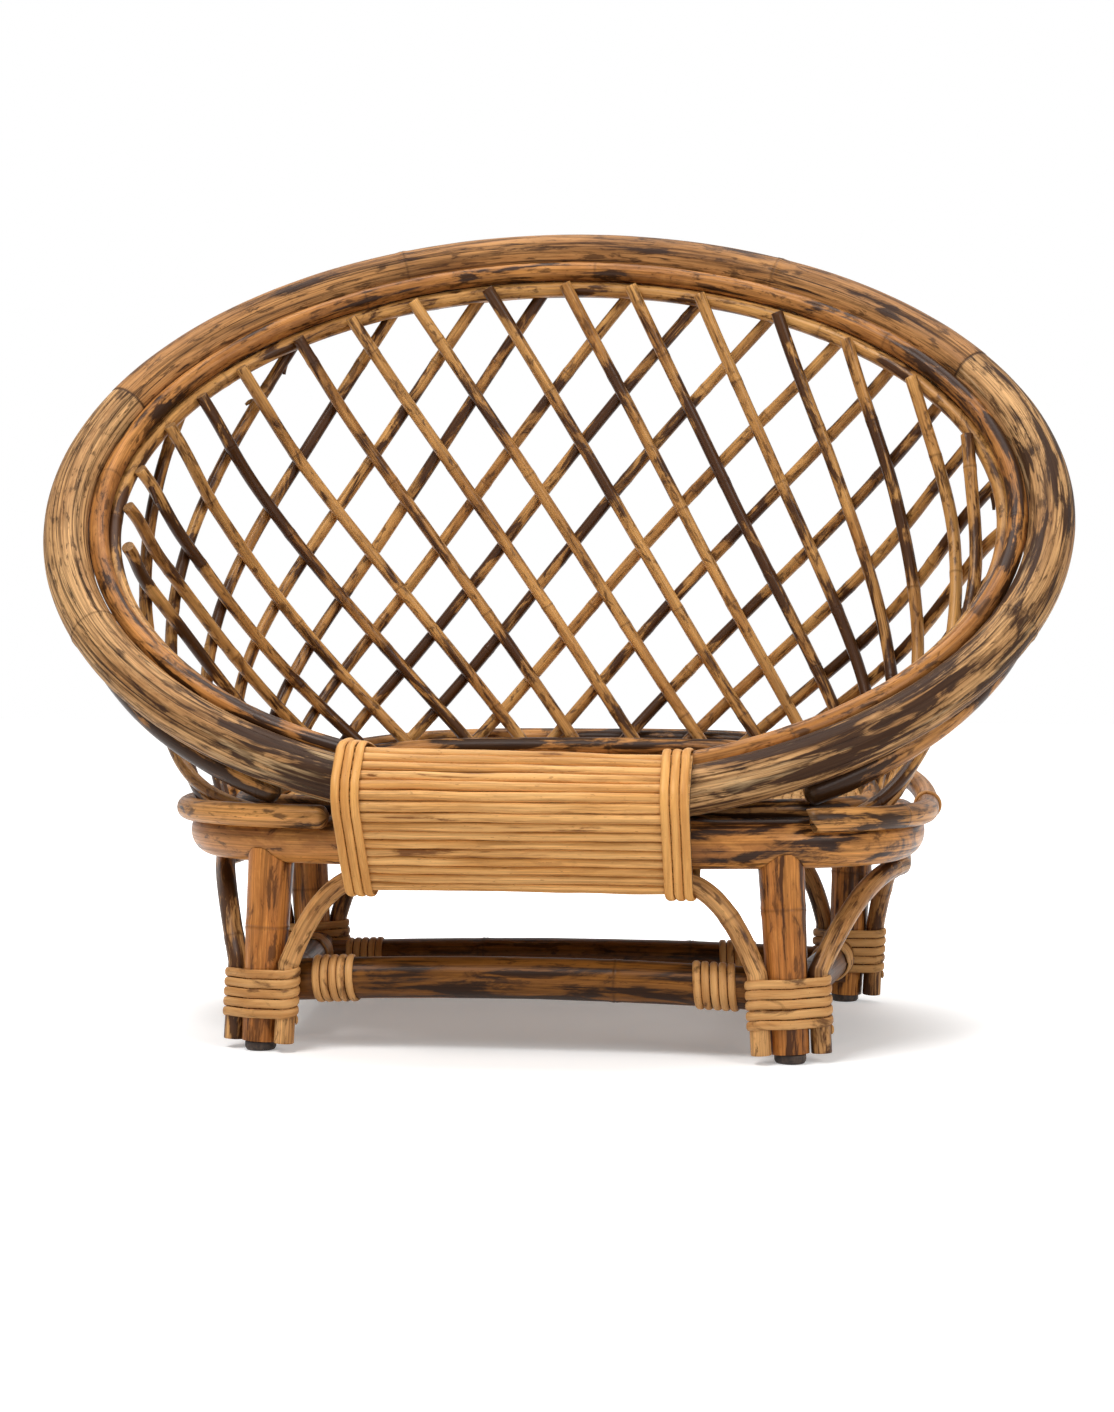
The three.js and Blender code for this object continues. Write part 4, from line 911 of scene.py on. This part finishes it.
parts = Parts()
sweep_ring(parts, lattice_offset, LATTICE_R, 20, 16)
for index, (top, foot, tone) in enumerate(zip(OUTER_TOPS, OUTER_FEET, OUTER_TONES)):
    rod(parts, outer_rods, top, foot, 1, 0.015, tone, 400 + index, 30 + index, 0.25)
parts.build("lattice_ring_and_outer_rods", LATTICE, "lattice_ring_and_outer_rods")

for index, (top, foot, tone) in enumerate(zip(INNER_TOPS, INNER_FEET, INNER_TONES)):
    parts = Parts()
    rod(parts, inner_rods, top, foot, -1, 0.008, tone, 500 + index, 60 + index, 0.2)
    name = f"lattice_inner_rod_{index + 1:02d}"
    parts.build(name, LATTICE, name)


# Legs, braces and stretchers
def bundle(z, end, hand):
    m, i, o = leg_mid(end, hand, z), end_foot(end, hand, z), side_foot(end, hand, z)
    return [(m[0], m[1], leg_radius(z)), (i[0], i[1], BRACE_R), (o[0], o[1], BRACE_R)]


def near_line(line, radius):
    return lambda p: np.array([np.min(np.linalg.norm(line - q, axis=1)) < radius for q in p])


def in_bundles(spots):
    """Inside the cane-bound bundle of a leg and its hoop feet."""
    phi = np.linspace(0, TURN, 72, endpoint=False)
    circles = [bundle(BUNDLE_H, end, hand) for end, hand in spots]

    def test(p):
        hit = np.zeros(len(p), bool)
        for group in circles:
            reach = support(group, phi) + CLEAR * 2 + CANE_T
            hit |= (p[:, :1] * np.cos(phi) + p[:, 1:2] * np.sin(phi) < reach).all(1)
        return hit

    return test


def brace(name, line, hint, length, seed, tone, spacing):
    tube(f"brace_hoop_{name}", BRACE, "honey_pole", line, BRACE_R, hint, sides=20, seed=seed, tone=tone,
         joints=joint_places(length, seed, spacing), wander=0.15, swell=0.5)


def stretcher(name, line, radius, seed, tone, joints, inside):
    tube(f"stretcher_{name}", STRETCHER, "honey_pole", line, radius, UP, sides=36, seed=seed, tone=tone,
         joints=joints, wander=0.0, vary=0.01, swell=0.7, inside=inside)


def stretcher_binding(name, line, radius, axis, way, reach, seed, tone):
    """Cane turns that start at reach from the stretcher's low (way -1) or high (way 1) end."""
    end = line[0 if way < 0 else -1][axis]
    start = end + reach if way < 0 else end - reach - STRETCH_CANE[1] * STRETCH_CANE[2]
    winding(f"stretcher_binding_{name}", CANE, axis, lambda place: [crossing(line, radius, axis, place)],
            start, STRETCH_CANE, CLEAR, seed, tone=tone)


BUNDLE_H = 50.0
END_BRACE_LENGTH, SIDE_BRACE_LENGTH = 700, 560
GLIDE_PROFILE = [(0.6, -1.2), (2, -0.2), (4, 0), (6, 0), (GLIDE_H, -0.2)]
in_base_ring = near_line(base_line(np.linspace(0, TURN, 1440)), POLE_R + CLEAR)

for end, out in ENDS.items():
    for side, hand in HANDS.items():
        name = f"{end}_{side}"
        heights = np.linspace(LEG_BOTTOM, LEG_TOP + 2, 40)
        line = np.array([leg_mid(end, hand, h) for h in heights])
        seed = 100 + 10 * (out + 1) + hand
        tube(f"leg_{name}", LEG, "honey_pole", line, leg_radius(heights), [1, 0, 0], sides=36, seed=seed,
             tone=0.2, joints=[118 + 12 * hand], wander=0.0, vary=0.008, swell=0.7, step=3.0,
             inside=in_base_ring)
        foot = leg_mid(end, hand, LEG_BOTTOM)
        tube(f"glide_{name}", FOOT, "glide", [[foot[0], foot[1], z] for z, _ in GLIDE_PROFILE],
             [GLIDE_R + change for _, change in GLIDE_PROFILE], [1, 0, 0], sides=32, seed=seed + 3, wander=0,
             vary=0, step=1.0, cut_tone=0)
        winding(f"leg_binding_{name}", CANE, 2, lambda z, end=end, hand=hand: bundle(z, end, hand),
                LEG_CANE_START, LEG_CANE, CLEAR, seed + 5, tone=0.25)
    brace(end, end_brace(end), [0, 1, 0], END_BRACE_LENGTH, 120 + out, -0.2 if out < 0 else 0.3, 210)

for side, hand in HANDS.items():
    brace(side, side_brace(hand), [1, 0, 0], SIDE_BRACE_LENGTH, 130 + hand, 0.5, 190)

for end, out in ENDS.items():
    line, radius = end_stretcher(end, np.linspace(0, 1, 160)), STRETCH[end][0]
    stretcher(end, line, radius, 140 + out, 0.1, [190, 410] if out > 0 else [330],
              in_bundles([(end, -1), (end, 1)]))
    for side, hand in HANDS.items():
        reach = FRONT_REACH if out < 0 else (OTHER_REACH if hand < 0 else REAR_RIGHT_REACH)
        stretcher_binding(f"{end}_{side}", line, radius, 0, hand, reach, 150 + out * 2 + hand, 0.1)

for side, hand in HANDS.items():
    line, radius = side_stretcher(hand, np.linspace(0, 1, 120)), STRETCH["side"][0]
    bound = in_bundles([("front", hand), ("rear", hand)])
    ahead, behind = (near_line(end_stretcher(end, np.linspace(0, 1, 400)), STRETCH[end][0] + CLEAR)
                     for end in ENDS)
    stretcher(side, line, radius, 160 + hand, 0.3, [190], lambda p: bound(p) | ahead(p) | behind(p))
    for end, out in ENDS.items():
        stretcher_binding(f"{side}_{end}", line, radius, 1, out, OTHER_REACH, 170 + out * 2 + hand, 0.3)

# Front reed panel and its bands
front_angles = np.linspace(math.pi, TURN, 400)
RIM_LINE = rim_point(front_angles)
BASE_LINE = base_line(front_angles)
INNER_LINE = rim_point(front_angles, *inner_offset(front_angles))
LATTICE_LINE = rim_point(front_angles, *lattice_offset(front_angles))
SEAT_LINE = seat_inner(front_angles)
FRONT_BRACE = end_brace("front")
BEHIND_PANEL = [(RIM_LINE, RIM_R), (BASE_LINE, POLE_R), (INNER_LINE, INNER_R), (LATTICE_LINE, LATTICE_R),
                (SEAT_LINE, SEAT_IN_R), (FRONT_BRACE, BRACE_R)]
PANEL_ENDS = (PANEL_X - PANEL_HALF, PANEL_X + PANEL_HALF)


def straightened(points, radius, x):
    first, last = (crossing(points, radius, 0, place) for place in PANEL_ENDS)
    slope = [(last[i] - first[i]) / (PANEL_HALF * 2) for i in (0, 1)]
    out = []
    for place in np.linspace(*PANEL_ENDS, 7):
        y, z, r = crossing(points, radius, 0, place)
        out.append((y + slope[0] * (x - place), z + slope[1] * (x - place), r))
    return out


def panel_circles(x):
    run = base_at_x(PANEL_X, True)
    return straightened(RIM_LINE, RIM_R, x) + straightened(BASE_LINE, POLE_R, x) + [(run[1], RUN_H, BRACE_R)]


def band_circles(x):
    spread = (PANEL_SEAT + REED) / math.cos(rad(15))
    shifts = [rad(90 + 30 * k) for k in range(5)]
    around = [(y + spread * math.cos(s), z + spread * math.sin(s), r)
              for y, z, r in panel_circles(x) for s in shifts]
    return around + [crossing(points, radius, 0, x) for points, radius in BEHIND_PANEL]


def panel_path(x, offset):
    directions = np.linspace(rad(100), rad(225), 97)
    circles = panel_circles(x)
    return np.array([wrap_corner(circles, d, e, offset) for d, e in zip(directions[:-1], directions[1:])])


def along(path, share):
    s = travelled(path)
    return np.array([np.interp(share * s[-1], s, path[:, k]) for k in (0, 1)]), s[-1]


def add_reed(parts, reed, paths, g):
    share = (reed + 0.5) / REEDS
    ((ly, lz), length), ((ry, rz), _) = (along(path, share) for path in paths)
    x = np.linspace(PANEL_ENDS[0] + REED_END_IN, PANEL_ENDS[1] - REED_END_IN, 130)
    t = (x - PANEL_ENDS[0]) / (PANEL_HALF * 2)
    taper = REED_TAPER * (1 if reed % 2 else -1) * (t - 0.5)
    vary = REED_VARY * waves(x - x[0], 910 + reed, REED_VARY_LENGTH, 1.0)
    radius = length / REEDS / 2 * (REED_FILL + taper + vary)
    drift = REED_DRIFT * waves(x - x[0], 940 + reed, REED_DRIFT_LENGTH, 1.0)
    line = np.stack([x, ly + (ry - ly) * t, lz + (rz - lz) * t + drift], -1)
    sweep(parts, line, radius, [0, -1, 0.2], sides=18, seed=900 + reed,
          tone=np.clip(g.uniform(-REED_TONES, REED_TONES, 6), -1, 1), wander=0.05, vary=0.004, step=3.0)


def add_backing(parts):
    """Dark sheet behind the reeds, so that no light comes through between them; its colour is painted shade.
    """
    shares = np.linspace(0.5 / REEDS, 1 - 0.5 / REEDS, 60)
    layers = []
    for depth in BACKING_DEPTHS:
        for x in PANEL_ENDS:
            path = panel_path(x, PANEL_SEAT + REED / 2 - depth)
            layers.append(np.array([[x, *along(path, share)[0]] for share in shares]))
    sheet = np.stack([layers[0], layers[1], layers[3], layers[2]], 1).reshape(-1, 3)
    last = len(sheet) - 4
    ends = [[3, 2, 1, 0], [last, last + 1, last + 2, last + 3]]
    parts.turned = True
    parts.add(sheet, np.concatenate([tunnel(len(shares), 4), ends]), sheet, 1.0, 0.0, BACKING_SHADE)


REED_END_IN, REED_FILL, REED_TAPER, REED_TONES = 0.6, 0.945, 0.06, 1.2
REED_VARY, REED_VARY_LENGTH, REED_DRIFT, REED_DRIFT_LENGTH = 0.035, 90, 0.6, 210
# BACKING_SHADE is the backing's end level, set above 1 so that the sheet is coloured mostly with painted
# shade
BACKING_DEPTHS, BACKING_SHADE = (1.6, 2.6), 1.7
parts = Parts()
reed_paths = [panel_path(x, PANEL_SEAT + REED / 2) for x in PANEL_ENDS]
g = seeded(900)
for reed in range(REEDS):
    add_reed(parts, reed, reed_paths, g)
add_backing(parts)
parts.build("front_reed_panel", REED_BARK, "front_reed_panel")

reach = PANEL_HALF - (BAND_CANE[1] * (BAND_CANE[2] - 1) + BAND_CANE[0]) / 2
for side, hand in HANDS.items():
    start = PANEL_X + hand * reach - BAND_CANE[1] * BAND_CANE[2] / 2
    winding(f"panel_band_{side}", BAND, 0, band_circles, start, BAND_CANE, BAND_SEAT, 950 + hand, steps=96)

# Woven seat deck
DECK_IN = SEAT_IN_OFF + math.sqrt(SEAT_IN_R ** 2 - (DECK_DROP - DECK_T / 2) ** 2) + CLEAR
STRIP, STRIP_T, STRIP_FILL, LAY = 9.2, 1.1, 0.93, 1.25
STRIP_IN, LEAST_STRIP, STRIP_STEP, STRIP_END_STEP, LAY_FLAT = 1.0, 12, 2.3, 1.5, 1.5
STRIP_WANDER, STRIP_WANDER_LENGTH, DECK_TONES = 0.25, 160, 0.8
NOTCH_REACH, NOTCH_DEPTH, NOTCH_EDGE, NOTCH_EASE = 28, 13, 30, 8
NOTCHES = [PANEL_X + hand * reach for hand in (-1, 1)]
ACROSS = np.array([-1, -0.6, 0, 0.6, 1, 0.6, 0, -0.6])
THICK = np.array([0.0, 0.5, 0.62, 0.5, 0.0, -0.5, -0.5, -0.5]) * STRIP_T
EDGE_IN, EDGE_R = 2.6, 2.7
outline_angle = np.linspace(0, TURN, 1440, endpoint=False)
OUTLINE = base_plan(outline_angle) - DECK_IN * base_normal(outline_angle)


def deck_height(y):
    share = np.clip(y / (BASE_D - DECK_IN), 0, None)
    return BASE_H + SEAT_IN_LIFT - DECK_DROP + SEAT_IN_RISE * share ** 2


def span_at(value, axis):
    """Ends of the deck along the other axis, on one straight strip."""
    a, b = OUTLINE[:, axis], OUTLINE[:, 1 - axis]
    sign = a - value
    ends = []
    for i in np.nonzero(sign * np.roll(sign, -1) <= 0)[0]:
        j = (i + 1) % len(a)
        t = 0 if a[j] == a[i] else (value - a[i]) / (a[j] - a[i])
        ends.append(b[i] + (b[j] - b[i]) * t)
    return (min(ends), max(ends)) if len(ends) > 1 else None


def add_strip(parts, axis, order, value, g):
    ends = span_at(value, axis)
    if not ends or ends[1] - ends[0] < LEAST_STRIP:
        return
    low, high = ends[0] + STRIP_IN, ends[1] - STRIP_IN
    if axis == 0 and min(abs(value - notch) for notch in NOTCHES) < NOTCH_REACH:
        low += NOTCH_DEPTH
    u = np.arange(low, high + STRIP_END_STEP, STRIP_STEP)
    u[-1] = high
    phase = math.pi * (u / STRIP + order) + (math.pi if axis else 0)
    weave = LAY * np.clip(LAY_FLAT * np.cos(phase), -1, 1)
    wander = STRIP_WANDER * waves(u - u[0], 980 + order + 200 * axis, STRIP_WANDER_LENGTH, 1.0)
    sideways = ACROSS * (STRIP * STRIP_FILL) / 2
    p = np.zeros((len(u), len(ACROSS), 3))
    p[:, :, axis] = value + wander[:, None] + sideways[None]
    p[:, :, 1 - axis] = u[:, None]
    p[:, :, 2] = deck_height(p[:, :, 1]) + weave[:, None] + THICK[None]
    pole = stacked(p.shape[:2], sideways, THICK, u[:, None]) + texture_shift(g)
    faces = tunnel(len(u), len(ACROSS))
    if axis == 1:
        faces = faces[:, ::-1]
    parts.add(p.reshape(-1, 3), faces, pole.reshape(-1, 3), g.uniform(-DECK_TONES, DECK_TONES))


parts = Parts()
g = seeded(970)
for axis in (0, 1):
    limit = OUTLINE[:, axis].max()
    for order, value in enumerate(np.arange(-math.floor(limit / STRIP) * STRIP, limit, STRIP)):
        add_strip(parts, axis, order, value, g)
parts.build("seat_deck_weave", WEAVE, "seat_deck")

edge_normal = base_normal(outline_angle[::4])
edge = OUTLINE[::4] - EDGE_IN * edge_normal
edge[:, 2] = deck_height(edge[:, 1])
for notch in NOTCHES:
    away = np.abs(edge[:, 0] - notch)
    near = (away < NOTCH_EDGE) & (edge[:, 1] < 0)
    edge[near, 1] += NOTCH_DEPTH * np.clip((NOTCH_EDGE - away[near]) / NOTCH_EASE, 0, 1)
parts = Parts()
sweep(parts, edge, EDGE_R, edge_normal, closed=True, sides=12, seed=990, wander=0, vary=0.01)
parts.build("seat_deck_edge", CANE)

# Camera, in millimetres, with the photo's size and the point it looks level at in pixels
AZIMUTH, DISTANCE, HEIGHT, FOCAL = rad(8), 2500.0, 382.0, 2500.0
PHOTO_W, PHOTO_H, LEVEL_X, LEVEL_Y = 1114, 1412, 563, 640
SENSOR, FARTHEST = 36, 60
VIEW_ACROSS = np.array([math.cos(AZIMUTH), math.sin(AZIMUTH), 0])
VIEW_IN = np.array([-math.sin(AZIMUTH), math.cos(AZIMUTH), 0])


def pixel(p):
    depth = DISTANCE + p @ VIEW_IN
    return np.stack([LEVEL_X + FOCAL * (p @ VIEW_ACROSS) / depth,
                     LEVEL_Y - FOCAL * (p[..., 2] - HEIGHT) / depth], -1)


camera_data = bpy.data.cameras.new("camera")
camera_data.sensor_fit = "VERTICAL"
camera_data.sensor_height = SENSOR
camera_data.lens = SENSOR * FOCAL / PHOTO_H
camera_data.clip_end = FARTHEST
camera = placed("camera", camera_data)
camera.location = ((HEIGHT * UP - DISTANCE * VIEW_IN + SHIFT) / PER_METRE).tolist()
camera.rotation_euler = (math.pi / 2 - math.atan((PHOTO_H / 2 - LEVEL_Y) / FOCAL), 0,
                         AZIMUTH + math.atan((LEVEL_X - PHOTO_W / 2) / FOCAL))
bpy.context.scene.camera = camera
bpy.context.scene.view_settings.view_transform = "Standard"

# Twig stubs left on the rods: pixel, direction sideways and down, length, radius
STUBS = [((135, 490), 0.45, 1, 17, 3.0), ((257, 403), -0.9, -0.1, 9, 2.6),
         ((297, 362), -0.2, 1, 11, 3.0), ((996, 492), 0.1, 1, 14, 2.8)]
STUB_SINK, STUB_SAG, STUB_TAPER, STUB_JOINT = 2.0, 5, 0.45, 0.4


def stub(parts, near, direction, length, radius, seed):
    """Broken side twig at the rod point that lies nearest to a place in the view."""
    rods = inner_rods + outer_rods
    distances = [np.linalg.norm(pixel(line) - near, axis=1) for line, _ in rods]
    nearest = int(np.argmin([distance.min() for distance in distances]))
    line, normal = rods[nearest]
    place = int(np.argmin(distances[nearest]))
    out = unit(direction)
    k = np.linspace(0, 1, 14)[:, None]
    twig = line[place] + out * (ROD_R - STUB_SINK) + out * length * k + DOWN * STUB_SAG * k ** 2
    sweep(parts, twig, radius * (1 - STUB_TAPER * k[:, 0]), normal[place], sides=10, seed=seed, tone=1.4,
          wander=0.4, vary=0.08, step=2.0, joints=[length * STUB_JOINT], swell=0.6)


parts = Parts()
for seed, (near, sideways, down, length, radius) in enumerate(STUBS, 1001):
    stub(parts, near, VIEW_ACROSS * sideways + DOWN * down, length, radius, seed)
parts.build("rod_stubs", LATTICE)

# Thin cane ties round the outer seat hoop, at these angles of the base
TIES = [(186, 176), (8, -4)]
TIE_PLACE, TIE_TURNS, TIE_PITCH, TIE_R, TIE_POINTS, TIE_REACH = 24, 2, 3.6, 1.6, 24, 0.75


def tie(parts, points, radius, seed):
    k = np.linspace(0, 1, TIE_POINTS * TIE_TURNS + 1)
    centre = resampled(TIE_PLACE + (k - 0.5) * (TIE_TURNS * TIE_PITCH), travelled(points), points)
    t = headings(centre, False)
    n = unit(UP - (t @ UP)[:, None] * t)
    b = np.cross(t, n)
    phi = TURN * TIE_TURNS * k
    reach = radius + TIE_R * TIE_REACH
    coil = centre + reach * (np.cos(phi)[:, None] * n + np.sin(phi)[:, None] * b)
    sweep(parts, coil, TIE_R, t, sides=8, seed=seed, tone=0.3, wander=0, vary=0.02, step=2.0)


parts = Parts()
for seed, ends in enumerate(TIES, 1010):
    tie(parts, seat_outer(np.linspace(rad(ends[0]), rad(ends[1]), 40)), SEAT_OUT_R, seed)
parts.build("hoop_ties", CANE)

# Floor, light and background, in metres
FLOOR_HALF, FLOOR_DROP, FLOOR_LIFT = 9, 0.0005, 0.22
# Painted glow on the floor: FLOOR_LIFT near the chair, rising to 1 from LIFT_NEAR to LIFT_FAR metres from
# the floor's origin under the chair
LIFT_NEAR, LIFT_FAR = 0.24, 0.66
PAPER, SOFT_LIGHT, WHITE, SOFT_STRENGTH = (0.9, 0.9, 0.9), (1, 0.95, 0.88), (1, 1, 1), 0.2


def seen_directly(tree):
    """1 for camera, glossy and transmission rays, so that reflections show the pale backdrop too."""
    rays = add_node(tree, "LightPath", {})
    seen = rays.outputs["Is Camera Ray"]
    for kind in ("Is Glossy Ray", "Is Transmission Ray"):
        seen = add_node(tree, "Math", {0: seen, 1: rays.outputs[kind]}, operation="MAXIMUM").outputs[0]
    return seen


def floor_material():
    """Matt paper that shows the chair's shadow near it and pure white away from it: a painted glow, seen
    directly and in reflections, grows with distance from the chair and fades the shadow out.
    """
    n = Nodes("floor_paper")
    set_inputs(n.tree, n.shader, {"Base Color": PAPER, "Roughness": 0.9, "Specular IOR Level": 0.1})
    place = n.add("TexCoord", {}).outputs["Object"]
    far = n.add("VectorMath", {0: place}, operation="LENGTH").outputs["Value"]
    lift = n.ramp(far, LIFT_NEAR, LIFT_FAR, FLOOR_LIFT, 1.0)
    glow = n.add("Emission", {"Color": WHITE, "Strength": n.times(seen_directly(n.tree), lift)})
    both = n.add("AddShader", {0: n.shader.outputs["BSDF"], 1: glow.outputs[0]})
    set_inputs(n.tree, n.out, {"Surface": both.outputs[0]})
    return n.material


def set_world():
    """Soft light all round, and white wherever the background is seen."""
    world = bpy.data.worlds.new("studio")
    bpy.context.scene.world = world
    world.use_nodes = True
    tree = world.node_tree
    tree.nodes.clear()
    soft = add_node(tree, "Background", {"Color": SOFT_LIGHT, "Strength": SOFT_STRENGTH})
    white = add_node(tree, "Background", {"Color": WHITE, "Strength": 1.0})
    pick = add_node(tree, "MixShader", {0: seen_directly(tree), 1: soft.outputs[0], 2: white.outputs[0]})
    add_node(tree, "OutputWorld", {"Surface": pick.outputs[0]})


def area(name, location, target, size, power):
    data = bpy.data.lights.new(name, "AREA")
    data.shape = "RECTANGLE"
    data.size, data.size_y = size
    data.energy = power
    lamp = placed(name, data)
    lamp.location = location
    x, y, z = np.array(target) - np.array(location)
    lamp.rotation_euler = (math.atan2(math.hypot(x, y), -z), 0, math.atan2(x, -y) + math.pi)


mesh = bpy.data.meshes.new("floor")
corners = [(x * FLOOR_HALF, y * FLOOR_HALF, -FLOOR_DROP) for x, y in ((-1, -1), (1, -1), (1, 1), (-1, 1))]
mesh.from_pydata(corners, [], [(0, 1, 2, 3)])
mesh.materials.append(floor_material())
floor = placed("floor", mesh)
set_world()
area("key", (-0.9, -1.6, 2.7), (0, 0, 0.3), (1.6, 1.2), 64)
area("fill", (2.2, -2.0, 1.6), (0, 0, 0.35), (1.4, 1.4), 34)
area("top", (0, 0.5, 3.0), (0, 0, 0.2), (2.4, 1.8), 50)
